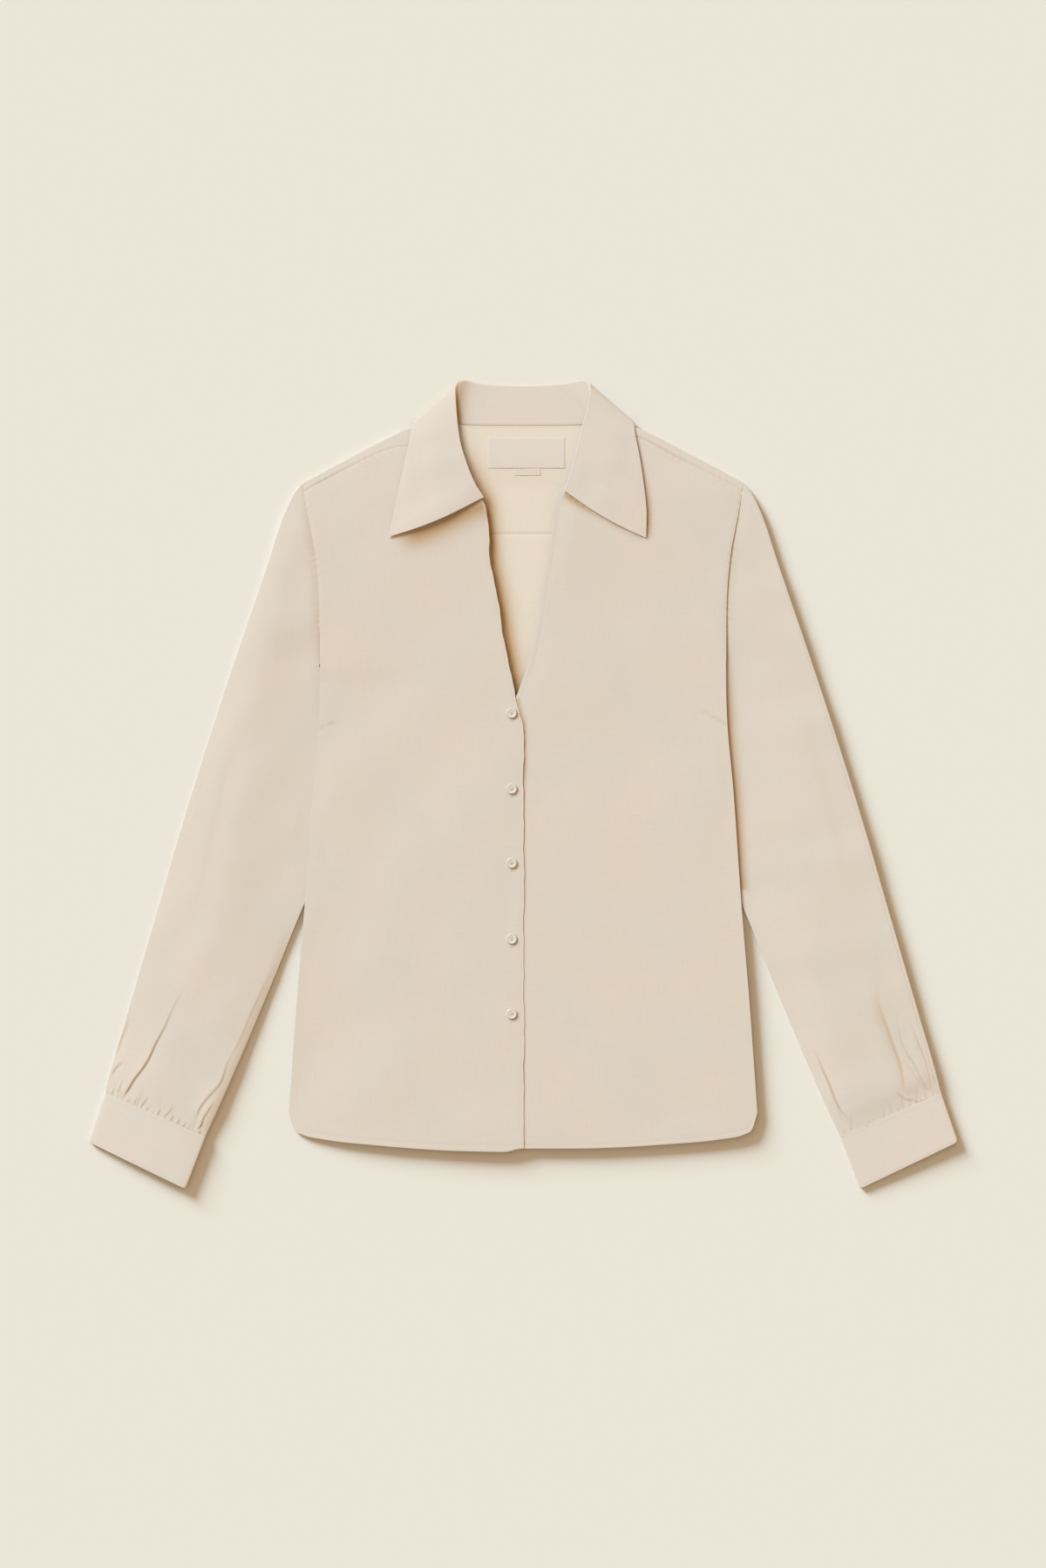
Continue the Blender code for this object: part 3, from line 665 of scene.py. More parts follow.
@dataclass(frozen=True)
class PearlFinish(Finish):
    """Shell button blanks: cloudy bands of pale pink and green under a polished face."""

    name: str = "shell_pearl"
    slot: str = "pearl_button"
    colour: Colour = (0.73, 0.66, 0.55)
    pink: Colour = (0.75, 0.63, 0.53)
    green: Colour = (0.66, 0.64, 0.53)
    roughness: float = 0.30

    def made(self) -> Material:
        """Makes the material."""
        n = Nodes(self.name)
        place = n.add("TexCoord").outputs["Object"]
        drift = n.noise(n.stretched(place, (1.0, 1.6, 1.0)), 260.0, 3.0)
        bands = n.wave(n.stretched(place, (1.0, 0.4, 1.0)), "X", 90.0)
        colour = n.mixed(n.levels(drift, *CLOUDY), self.pink, self.green)
        colour = n.mixed(n.levels(bands, 0.1, 0.9), colour, self.colour, 0.8)
        n.join(colour, n.shader.inputs["Base Color"])
        n.bump(drift, 0.00012, 0.25)
        return n.finished({"Roughness": self.roughness, "Coat Weight": 0.3, "Coat Roughness": 0.08})


@dataclass(frozen=True)
class ThreadFinish(Finish):
    """Sewing thread: matt, twisted, close to the cloth's colour."""

    name: str
    slot: str
    colour: Colour
    roughness: float = 0.65

    def made(self) -> Material:
        """Makes the material."""
        n = Nodes(self.name)
        place = n.add("TexCoord").outputs["Object"]
        twist = n.wave(n.stretched(place, (1.0, 0.8, 0.5)), "DIAGONAL", 800.0)
        uneven = n.levels(n.noise(place, 120.0, 2.0), 0.3, 0.7)
        shade = n.mixed(uneven, self.colour, tinted(self.colour, (0.90, 0.88, 0.85)))
        # the twist's grooves are a little darker: painted shade
        shade = n.mixed(twist, shade, tinted(self.colour, (0.94, 0.93, 0.92)), 0.6)
        n.join(shade, n.shader.inputs["Base Color"])
        n.bump(twist, 0.00005, 0.4)
        return n.finished({"Roughness": self.roughness})


@dataclass(frozen=True)
class FloorFinish(Finish):
    """A plain pale backdrop."""

    name: str = "backdrop"
    colour: Colour = (0.80, 0.754, 0.654)

    def made(self) -> Material:
        """Makes the material."""
        values = {"Base Color": (*self.colour, 1.0), "Roughness": 1.0, "Specular IOR Level": 0.0}
        return Nodes(self.name).finished(values)


CLOTH = ClothFinish("plain_weave", "blouse_cloth", (0.704, 0.620, 0.518))
# A lighter, warmer copy of the cloth: painted light for the back and yoke seen in shade inside the V
PAINTED_LIGHT_CLOTH = ClothFinish("plain_weave_painted_light", "blouse_cloth", (0.776, 0.684, 0.556))
BAND = ClothFinish("plain_weave_doubled", "band_cloth", (0.718, 0.634, 0.535))
TAPE = ClothFinish(
    "woven_tape", "label_tape", (0.750, 0.658, 0.562), blush=(1.0, 0.99, 0.985), ash=(0.99, 1.0, 1.0),
    thread_scale=1100.0,
)
SEWING = ThreadFinish("sewing_thread", "blouse_cloth", (0.700, 0.612, 0.508))
BUTTON_THREAD = ThreadFinish("button_thread", "blouse_cloth", (0.730, 0.655, 0.555))
SHELL = PearlFinish()


@dataclass
class Skin:
    """The laid-out surface of a piece: where each grid vertex goes, and how much shade is painted on it."""

    points: Array
    grain: Array
    # the painted shade at each vertex, 0 to 1
    depth: Array


@dataclass
class ClothPiece:
    """One cut piece of cloth, built from a grid over its surface."""

    layout: Layout
    name: str
    node: str
    flat: Point
    area: float
    rests_on: tuple[str, ...] = ()
    held: Held = Held.LAID
    finish: ClothFinish = CLOTH
    columns: int = 80
    rows: int = 80
    wall: float = 0.0005
    wall_offset: float = -1.0
    closed: bool = False
    rim: float = 0.00012
    rim_angle: float = math.radians(62)  # the least bend that the rim's rounding takes
    tree: Optional[BVHTree] = field(default=None, repr=False)
    piece: Optional[Object] = field(default=None, repr=False)

    def surface(self, u: Array, v: Array) -> Skin:
        """Where the grid goes.

        Args:
            u: how far each vertex is across the grid, 0 to 1.
            v: how far it is along it, 0 to 1.

        Returns:
            The laid-out surface.
        """
        raise NotImplementedError

    def grid(self, columns: int, rows: int, surface: Callable[[Array, Array], Skin]) -> Mesh:
        """A grid of faces carried onto a surface.

        Args:
            columns: its steps across.
            rows: its steps along.
            surface: where each vertex goes.

        Returns:
            The mesh, with its grain and its painted shade.
        """
        bm = bmesh.new()
        bmesh.ops.create_grid(bm, x_segments=columns, y_segments=rows, size=0.5)
        bm.verts.ensure_lookup_table()
        bm.verts.index_update()
        flat = np.array([v.co[:2] for v in bm.verts]) + 0.5
        skin = surface(flat[:, 0], flat[:, 1])
        # the painted shade goes on each vertex as the depth attribute
        depth = bm.verts.layers.float.new("depth")
        for vert, point, painted_shade in zip(bm.verts, skin.points, skin.depth):
            vert.co = point
            vert[depth] = float(painted_shade)
        uv = bm.loops.layers.uv.new("grain")
        for face in bm.faces:
            for loop in face.loops:
                loop[uv].uv = skin.grain[loop.vert.index]
        return bm

    def skin_mesh(self) -> Mesh:
        """The piece's outer surface."""
        return self.grid(self.columns, self.rows, self.surface)

    def build(self) -> Object:
        """Makes the piece, with its wall, and fits it to the frame.

        Returns:
            The finished object.
        """
        bm = self.skin_mesh()
        if self.closed:
            bmesh.ops.remove_doubles(bm, verts=bm.verts[:], dist=1e-6)
            bmesh.ops.recalc_face_normals(bm, faces=bm.faces[:])
        bm.normal_update()
        if sum(f.normal.z * f.calc_area() for f in bm.faces) < 0 and not self.closed:
            bmesh.ops.reverse_faces(bm, faces=bm.faces[:])
        self.tree = BVHTree.FromBMesh(bm)
        self.piece = add_piece(self.name, bm, self.finish.material())
        solid = self.piece.modifiers.new("wall", "SOLIDIFY")
        solid.thickness = self.wall
        solid.offset = self.wall_offset
        if self.rim:
            rim = self.piece.modifiers.new("rim", "BEVEL")
            rim.width = self.rim
            rim.segments = 2
            rim.limit_method = "ANGLE"
            rim.angle_limit = self.rim_angle
        fit(self.piece, self.finish.slot, self.node)
        return self.piece

    def declare(self, sewn: Sequence[Object] = ()) -> None:
        """Does nothing with the piece.

        Args:
            sewn: the separate stitches on it; not used.
        """

    def seat(self, x: float, y: float) -> Optional[tuple[Vector, Vector]]:
        """The piece's top at a place seen from above, and its normal there."""
        point, normal, _, _ = self.tree.ray_cast(Vector((x, y, 0.05)), Vector((0, 0, -1)))
        if point is None:
            return None
        return point, normal if normal.z > 0 else -normal


def add_piece(name: str, bm: Mesh, finish: Material) -> Object:
    """Makes a mesh an object, shaded smooth.

    Args:
        name: the piece's name.
        bm: its mesh, which is freed.
        finish: its material.

    Returns:
        The object.
    """
    mesh = bpy.data.meshes.new(name)
    bm.to_mesh(mesh)
    bm.free()
    mesh.materials.append(finish)
    mesh.shade_smooth()
    piece = bpy.data.objects.new(name, mesh)
    bpy.context.collection.objects.link(piece)
    return piece


def fit(piece: Object, slot: str, *nodes: str) -> None:
    """Rides a piece on the blouse and hides the parts of the model that it stands for."""
    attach(piece, BODY)
    if nodes:
        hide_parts(*nodes)


@dataclass
class Back(ClothPiece):
    """The back, from the hem to the yoke's seam."""

    # the lighter, warmer copy of the cloth, painted light
    finish: ClothFinish = PAINTED_LIGHT_CLOTH
    inset: float = 0.0006
    under_seam: float = 0.0012  # how far it runs on beneath the yoke's edge
    stand: float = 0.00022  # how far it stands up between its seams
    least_stand: float = 0.0003
    tuck: Point = (0.0003, 0.004)  # how deep it dips below the seam, and from how far
    seam_painted_shade: Triple = (0.22, 0.0006, 0.0011)  # painted shade just below the yoke's seam: strength, place, width
    painted_shadows: tuple[PaintedShadow, ...] = ()
    uneven: Undulation = Undulation(0.00018, 0.16, 3)

    def surface(self, u: Array, v: Array) -> Skin:
        """Lays the back over the surface and the sleeves."""
        at = self.layout
        c = 2.0 * u - 1.0
        top = at.yoke_seam + self.under_seam
        side_up = between(at.side_foot, top, v)
        x = c * (at.half_width(side_up) - self.inset)
        up = between(at.hem(np.abs(c)) + self.inset, top, v)
        calm = smooth((1 - np.abs(c)) / 0.2) * smooth(v / 0.08) * smooth((1 - v) / 0.05)
        relief = (self.stand + self.uneven.relief(x, up)) * calm
        dip, start = self.tuck
        dipped = dip * smooth((up - at.yoke_seam + start) / start)
        z = at.underside(x, up) + self.wall + np.maximum(relief, self.least_stand) - dipped
        strength, below, wide = self.seam_painted_shade
        # painted shadow inside the V, and painted shade below the yoke's seam
        painted_shade = together(self.painted_shadows, -x, up)[1] + strength * hump((at.yoke_seam - below - up) / wide)
        return Skin(np.column_stack([x, up, z]), np.column_stack([x, up]), np.clip(painted_shade, 0, 1))


@dataclass
class Front(ClothPiece):
    """One front: its side, hem, shoulder seam, and its own inner edge."""

    side: Side = Side.RIGHT
    edges: Rows = ()
    laps: bool = False
    wavy_edge: float = 0.00045
    wavy_from: float = -0.33
    waves: Rows = ((0.7, 95.0, 1.0), (0.6, 187.0, 0.0), (0.7, 43.0, 2.0), (0.35, 411.0, 0.5))
    corner: float = 0.0  # how far the hem turns up at the buttoned edge's foot
    dart: Points = ()
    painted_shadows: tuple[PaintedShadow, ...] = ()
    puckers: tuple[Puckers, ...] = ()
    uneven: Undulation = Undulation(0.0002, 0.2, 5)
    seam_lap: float = 0.0002
    seam_dip: float = 0.0002  # how deep the armhole's seam lies
    dart_depth: float = 0.0003
    dart_width: float = 0.0011
    # how dark the shade painted in the dart's groove is
    dart_painted_shade: float = 0.22
    hem_seam: Triple = (0.00010, 0.0052, 0.0011)  # depth, place, width
    edge_seam: Triple = (0.00008, 0.0024, 0.0010)
    edge_seam_foot: float = -0.32
    strip_dip: float = 0.00012  # how deep it lies at the yoke's strip
    back_wall: float = 0.0010
    closed_by: float = 0.0012  # how far its side is drawn down, above the armpit

    def __post_init__(self) -> None:
        """Fits the inner edge's line."""
        self.edge = Line(self.edges)

    def inner(self, up: Array) -> Array:
        """The inner edge, a little wavy where it is buttoned."""
        wave = sum(a * np.sin(up * f + p) for a, f, p in self.waves)
        return self.edge(up) + self.wavy_edge * wave * smooth((up - self.wavy_from) / 0.02)

    def plan(self, across: Array, along: Array) -> Array:
        """The front's plan, blended from its four edges."""
        at = self.layout

        def side_edge(t: Array) -> Array:
            up = between(at.side_foot, at.shoulder_seam(at.shoulder_tip, self.side), t)
            lap = self.seam_lap * smooth((up - at.armpit) / 0.01)
            return np.stack([at.half_width(up) + lap, up], -1)

        def inner_edge(t: Array) -> Array:
            up = between(self.edges[0][0], self.edges[-1][0], t)
            return np.stack([self.inner(up), up], -1)

        def hem_edge(t: Array) -> Array:
            out = between(at.half_width(at.side_foot), self.inner(self.edges[0][0]), t)
            turned = self.corner * smooth((0.018 - out) / 0.018)
            share = np.maximum(out, 0.0) / at.half_width(at.side_foot)
            return np.stack([out, at.hem(share) + turned], -1)

        def seam_edge(t: Array) -> Array:
            out = between(side_edge(np.array(1.0))[0], self.inner(self.edges[-1][0]), t)
            return np.stack([out, at.shoulder_seam(out, self.side)], -1)

        zero, one = np.array(0.0), np.array(1.0)
        along2, across2 = along[:, None], across[:, None]
        corners = between(
            between(side_edge(zero), hem_edge(one), across2),
            between(side_edge(one), inner_edge(one), across2),
            along2,
        )
        sides = between(side_edge(along), inner_edge(along), across2)
        ends = between(hem_edge(across), seam_edge(across), along2)
        return sides + ends - corners

    def surface(self, u: Array, v: Array) -> Skin:
        """Lays the front over the back, with its dart, hem, puckers and folds."""
        at = self.layout
        across = Line(((0, 0), (0.03, 0), (0.08, 0.02), (0.5, 0.5), (0.93, 0.975), (1, 1)))(u)
        along = Line(((0, 0), (0.06, 0.03), (0.5, 0.46), (0.94, 0.965), (1, 1)))(v)
        plan = self.plan(across, along)
        out, up = plan[:, 0], plan[:, 1]
        z = at.front_top(out, up, self.side)
        if self.laps:
            z += at.lap(out)
        from_side = at.half_width(up) - out
        from_edge = out - self.inner(up)
        foot = at.hem(np.maximum(out, 0.0) / at.half_width(at.side_foot))
        from_hem = up - foot
        from_seam = at.shoulder_seam(out, self.side) - up
        calm = smooth(from_side / 0.02) * smooth(from_edge / 0.02) * smooth(from_hem / 0.03)
        z += self.uneven.relief(out, up) * calm
        # painted shadows below edges, and the puckers with shade painted between them
        fold, painted_shade = together(self.painted_shadows + self.puckers, out, up)
        groove = self.dart_groove(out, up)
        z += fold - groove
        depth, place, wide = self.hem_seam
        z -= depth * hump((from_hem - place) / wide)
        depth, place, wide = self.edge_seam
        z -= depth * hump((from_edge - place) / wide) * (up > self.edge_seam_foot)
        seam = smooth((up - at.armpit) / 0.02)
        z -= self.seam_dip * seam * hump(from_side / 0.0018)
        z -= self.strip_dip * smooth((0.004 - from_seam) / 0.003) * (out > at.neck_side)
        back_top = at.underside(out, up) + self.back_wall
        closed = np.where(up > at.armpit, z - self.closed_by, back_top + self.wall)
        z = between(z, np.minimum(closed, z), 1.0 - smooth(u / 0.03))
        # painted shade in the dart's groove
        painted_shade = painted_shade + self.dart_painted_shade * groove / self.dart_depth
        x = self.side.value * out
        return Skin(np.column_stack([x, up, z]), np.column_stack([x, up]), np.clip(painted_shade, 0, 1))

    def dart_groove(self, out: Array, up: Array) -> Array:
        """How deep the bust dart's seam lies, deepest at the side."""
        along, beside, length = Track(self.dart).locate(out, up)
        fade = smooth((length - along) / (0.7 * length) + 0.15)
        return self.dart_depth * hump(beside / self.dart_width) * fade


@dataclass
class Yoke(ClothPiece):
    """The yoke, from the back's seam over the shoulders to its strip on each front."""

    columns: int = 150
    back_rows: int = 44
    strip_rows: int = 30
    strip_columns: int = 74
    square: float = 0.6
    fold_end: float = 0.34  # how far along the strip's grid the fold over the shoulder ends
    seam_lap: float = 0.0006
    seam_dip: float = 0.00020
    seam_width: float = 0.0008
    puckers: tuple[Puckers, ...] = ()
    painted_shadows: tuple[PaintedShadow, ...] = ()

    def flat_part(self, u: Array, v: Array) -> Skin:
        """The layer against the surface."""
        at = self.layout
        neck = at.neck_side / at.shoulder_tip
        c = Line(((0, -1), (0.34, -neck), (0.66, neck), (1, 1)))(u)
        low = at.yoke_seam - self.seam_lap
        up = between(low, at.yoke_top(np.abs(c) * at.shoulder_tip), v)
        side_up = between(low, at.shoulders[-1][1] - at.fold_depth, v)
        x = c * at.half_width(side_up)
        z = at.underside(x, up) + self.wall + 0.0003
        # painted shadow inside the V
        painted_shade = np.clip(together(self.painted_shadows, -x, up)[1], 0, 1)
        return Skin(np.column_stack([x, up, z]), np.column_stack([x, up]), painted_shade)

    def strip_part(self, side: Side) -> Callable[[Array, Array], Skin]:
        """The fold over one shoulder and the strip on that front."""
        at = self.layout
        neck = at.neck_side / at.shoulder_tip

        def surface(u: Array, v: Array) -> Skin:
            c = between(neck, 1.0, u)
            foot = at.yoke_top(c * at.shoulder_tip)
            out0 = c * at.half_width(foot)
            low = at.underside(out0, foot)
            high = at.front_top(out0, foot, side)
            turn = between(-math.pi / 2, math.pi / 2, np.clip(v / self.fold_end, 0, 1))
            across, level = rounded(turn, self.square)
            folded_up = foot + at.fold_depth * across
            folded_z = (low + high) / 2 + (high - low) / 2 * level
            past = (v - self.fold_end) / (1.0 - self.fold_end)
            along = (smooth(past) + np.clip(past, 0, 1)) * 0.5
            seam_up = at.shoulder_seam(out0, side) - self.seam_lap
            laid_up = between(foot, seam_up, along)
            laid_out = c * at.half_width(laid_up)
            laid_z = at.front_top(laid_out, laid_up, side) + 0.00012 * smooth(along * 1.4)
            laid_z = laid_z - self.seam_dip * hump((laid_up - seam_up) / self.seam_width)
            fold = v <= self.fold_end
            up = np.where(fold, folded_up, laid_up)
            out = np.where(fold, c * at.half_width(folded_up), laid_out)
            z = np.where(fold, folded_z, laid_z)
            # the puckers, with shade painted between them
            ripple, painted_shade = together(self.puckers, out, up)
            z = z + ripple * smooth((v - 0.3) / 0.2)
            x = side.value * out
            grain = np.column_stack([x, foot * 2 - up + 0.01 * v])
            return Skin(np.column_stack([x, up, z]), grain, painted_shade)

        return surface

    def build(self) -> Object:
        """Makes the yoke, its flat layer in the lighter, warmer copy of the cloth that paints light on it.
        """
        found = super().build()
        found.data.materials.append(PAINTED_LIGHT_CLOTH.material())
        return found

    def skin_mesh(self) -> Mesh:
        """The flat layer with both strips, joined along their folds."""
        bm = self.grid(self.columns, self.back_rows, self.flat_part)
        for face in bm.faces:
            face.material_index = 1
        for side in Side:
            part = self.grid(self.strip_columns, self.strip_rows, self.strip_part(side))
            part.normal_update()
            if sum(f.normal.z for f in part.faces) < 0:
                bmesh.ops.reverse_faces(part, faces=part.faces[:])
            mesh = bpy.data.meshes.new("strip")
            part.to_mesh(mesh)
            part.free()
            bm.from_mesh(mesh)
            bpy.data.meshes.remove(mesh)
        return bm


@dataclass(frozen=True)
class Gathers:
    """The small pleats that a cuff draws its sleeve into, each with its own length and lean."""

    seed: int
    width: float = 0.101
    margins: Point = (0.003, 0.002)  # left plain beside each fold
    short: Point = (0.006, 0.014)  # the least and the most of each of these
    long: Point = (0.018, 0.034)
    half: Point = (0.0007, 0.0012)
    slant: Point = (-0.35, 0.35)
    depth: Point = (0.00014, 0.00034)
    pitch: Point = (0.0038, 0.0066)
    short_share: float = 0.72
    spread: float = 0.05  # how fast each widens up the sleeve

    def depths(self, across: Array, to_cuff: Array) -> Array:
        """How deep the gathers lie.

        Args:
            across: the distance from the outer fold.
            to_cuff: the distance above the cuff's seam.

        Returns:
            The depth, positive.
        """
        draw = np.random.RandomState(self.seed)
        found = np.zeros(across.shape)
        place = self.margins[0]
        while place < self.width - self.margins[1]:
            reach = draw.uniform(*(self.short if draw.uniform() < self.short_share else self.long))
            half = draw.uniform(*self.half)
            slant = draw.uniform(*self.slant)
            depth = draw.uniform(*self.depth)
            beside = across - (place + slant * to_cuff)
            fade = smooth(1.0 - to_cuff / reach)
            found += depth * fade * hump(beside / (half + self.spread * to_cuff))
            place += draw.uniform(*self.pitch)
        return found


@dataclass
class Sleeve(ClothPiece):
    """A sleeve pressed flat: its two folds, its rings bent round the armpit, its gathers."""

    side: Side = Side.RIGHT
    closed: bool = True
    outers: Rows = (
        (0.00, 0.2028, 0.2768), (0.02, 0.2098, 0.2672), (0.06, 0.2192, 0.2480),
        (0.14, 0.2352, 0.2000), (0.32, 0.2712, 0.0944), (0.52, 0.3080, -0.0208),
        (0.72, 0.3416, -0.1360), (0.86, 0.3640, -0.2128), (0.96, 0.3790, -0.2640),
        (1.00, 0.3842, -0.2846),
    )
    inners: Rows = (
        (0.00, 0.1850, 0.1045), (0.03, 0.1834, 0.0930), (0.06, 0.1800, 0.0800),
        (0.10, 0.1720, 0.0620), (0.14, 0.1630, 0.0450), (0.22, 0.1520, 0.0150),
        (0.32, 0.1540, -0.0160), (0.42, 0.1670, -0.0450), (0.52, 0.1860, -0.0800),
        (0.62, 0.2050, -0.1200), (0.72, 0.2262, -0.1725), (0.86, 0.2560, -0.2440),
        (0.96, 0.2812, -0.3015), (1.00, 0.2920, -0.3246),
    )
    knees: Rows = (
        (0.00, -0.0035, -0.0880), (0.03, -0.0062, -0.0885), (0.06, -0.0035, -0.0890),
        (0.10, 0.0035, -0.0870), (0.14, 0.0080, -0.0825), (0.22, 0.0100, -0.0530),
        (0.32, 0.0050, -0.0160), (0.42, 0.0000, 0.0000), (1.00, 0.0000, 0.0000),
    )
    length: float = 0.6450
    armhole_clear: float = 0.0300
    seam_dip: float = 0.0003
    height: float = 0.0056
    edge_heights: Rows = ()  # at the outer and the inner fold, by how far down the sleeve they are
    domes: Point = (0.0600, 0.0400)  # how far in from each fold it is full
    seam_height: float = 0.0044
    seam_reach: float = 0.0500  # the height above the armpit in which it rises to that
    free: float = 0.1000
    cuff_heights: Point = (0.0042, 0.0042)
    cuff_arch: float = 0.0  # how far the cuff stands up between its folds
    cuff_pinch: float = 0.0070  # the distance above the cuff in which it is drawn in
    puff: float = 0.0004
    square: float = 0.28  # how square its folds' edges are, 1 for round
    stops: Triple = (0.78, 0.82, 0.96)  # its top, inner fold and underside
    inner_slope: float = 0.0  # how far it falls off towards its inner fold, near the cuff
    creases: tuple[Crease, ...] = ()
    painted_shadows: tuple[PaintedShadow, ...] = ()
    under_creases: tuple[Crease, ...] = ()
    puckers: tuple[Puckers, ...] = ()
    uneven: Undulation = Undulation(0.00035, 0.12, 11)
    gathers: Gathers = Gathers(2)
    under_gathers: Gathers = Gathers(52)
    pleat_painted_shade: float = 0.25 / 0.0004  # how dark the painted shade is for each depth of pleat
    # how dark the painted shade is for each depth it falls off towards its inner fold
    slope_painted_shade: float = 0.2 / 0.001
    under_most: float = 0.0011  # the deepest fold beneath

    def __post_init__(self) -> None:
        """Fits the folds' lines."""
        self.outer, self.inner, self.knee = Line(self.outers), Line(self.inners), Line(self.knees)
        self.edge_height = Line(self.edge_heights)

    def path(self, down: float) -> tuple[Array, Array]:
        """A ring's line across the sleeve from fold to fold.

        Args:
            down: how far down the sleeve the ring is, 0 to 1.

        Returns:
            Points along it, and the distance along it at each.
        """
        at = self.layout
        outer, inner = self.outer(down), self.inner(down)
        knee = between(outer, inner, 0.5) + self.knee(down)
        share = np.linspace(0, 1, 61)[:, None]
        points = between(between(outer, knee, share), between(knee, inner, share), share)
        beside = at.half_width(points[:, 1]) + self.armhole_clear * down
        above = points[:, 1] > at.armpit
        held = beside if down == 0.0 else np.maximum(points[:, 0], beside)
        points[:, 0] = np.where(above, held, points[:, 0])
        return points, Track.lengths(points)

    def top(self, out: Array, up: Array, to_cuff: Array, across: Array, width: float) -> Array:
        """The sleeve's upper face before its folds.

        Args:
            out: how far out each point is.
            up: how high up.
            to_cuff: the distance down to the cuff's seam.
            across: the distance from the outer fold.
            width: the sleeve's width there.

        Returns:
            Its height: low under the body, thin at its folds, drawn in at the cuff.
        """
        at = self.layout
        seam = between(at.tucked, self.seam_height, smooth((up - at.armpit) / self.seam_reach))
        seam = between(seam, self.edge_heights[0][1], smooth((up - at.shoulders[-1][1]) / 0.05 + 1.0))
        free = smooth((out - at.half_width(up)) / self.free)
        edges = self.edge_height(1.0 - to_cuff / self.length)
        first, last = (
            1.0 - (1.0 - np.clip(far / dome, 0, 1)) ** 2
            for far, dome in zip((across, width - across), self.domes)
        )
        high = between(edges[..., 0], self.height, first)
        high = between(edges[..., 1], high, last)
        full = between(seam, high, free)
        full = full + self.puff * free * hump((to_cuff - 0.030) / 0.020)
        share = np.clip(across / width, 0, 1)
        at_cuff = between(self.cuff_heights[0], self.cuff_heights[1], share)
        at_cuff = at_cuff + self.cuff_arch * np.sqrt(4.0 * share * (1.0 - share))
        return between(np.minimum(at_cuff, full), full, smooth(to_cuff / self.cuff_pinch))

    def surface(self, u: Array, v: Array) -> Skin:
        """Lays the sleeve out ring by ring."""
        warp = Line(((0, 0), (0.25, 0.15), (0.45, 0.46), (0.66, 0.79), (0.8, 0.91), (1, 1)))
        points = np.zeros((len(u), 3))
        grain = np.zeros((len(u), 2))
        levels = np.zeros(len(u))
        for place, mine in by_row(v):
            down = float(warp(place))
            path, far_at = self.path(down)
            width = float(far_at[-1])
            to_cuff = (1.0 - down) * self.length
            edge = self.top(*path[[0, -1]].T, np.full(2, to_cuff), np.array([0.0, width]), width)
            far, level = flattened(u[mine], width, edge / 2, self.stops, self.square)
            out = np.interp(far, far_at, path[:, 0])
            up = np.interp(far, far_at, path[:, 1])
            height = self.top(out, up, np.full(len(mine), to_cuff), np.clip(far, 0, width), width)
            z = height * (0.5 + 0.5 * level)
            points[mine] = np.column_stack([out, up, z])
            along = np.full(len(mine), -down * self.length)
            grain[mine] = np.column_stack([np.where(level > 0, far, -far), along])
            levels[mine] = level
        return self.worked(points, grain, levels)

    def worked(self, points: Array, grain: Array, level: Array) -> Skin:
        """Adds the folds, gathers and puckers to the smooth tube.

        Args:
            points: its vertices.
            grain: the distance across and along at each.
            level: 1 on top to -1 beneath.

        Returns:
            The finished surface, on its own side.
        """
        at = self.layout
        out, up = points[:, 0].copy(), points[:, 1].copy()
        to_cuff = self.length + grain[:, 1]
        above = smooth((level + 0.2) / 1.0)
        clear = smooth((out - at.half_width(up) - 0.004) / 0.012)
        clear = np.where(up > at.armpit, smooth((out - at.half_width(up) - 0.0005) / 0.01), clear)
        fold, painted_shade = together(self.creases, out, up)
        ripple, shade = together(self.puckers + self.painted_shadows, out, up)
        rise = self.uneven.relief(out, up) * clear * smooth(to_cuff / 0.03) + fold * clear
        pleat = self.gathers.depths(np.abs(grain[:, 0]), to_cuff)
        seam = self.seam_dip * hump((out - at.half_width(up)) / 0.0018) * smooth((up - at.armpit) / 0.02)
        from_inner = np.hypot(*(points[:, :2] - self.inner(1.0 - to_cuff / self.length)).T)
        slope = self.inner_slope * smooth(1.0 - from_inner / 0.009) * smooth((0.30 - to_cuff) / 0.12)
        z = points[:, 2] + above * (rise + ripple - pleat - seam - slope)
        below = smooth((-level - 0.2) / 0.8)
        under_pleat = self.under_gathers.depths(np.abs(grain[:, 0]), to_cuff)
        under = np.maximum(-together(self.under_creases, out, up)[0], 0.0)
        z += below * np.minimum(under_pleat + under, self.under_most)
        # painted shade in the gathers and on the slope to the inner fold, with the folds' and painted
        # shadows' own
        painted_fold_shade = self.pleat_painted_shade * pleat + self.slope_painted_shade * slope
        painted_shade = np.clip(above * (painted_shade + shade + painted_fold_shade), 0, 1)
        x = self.side.value * out
        return Skin(np.column_stack([x, up, z]), grain, painted_shade)


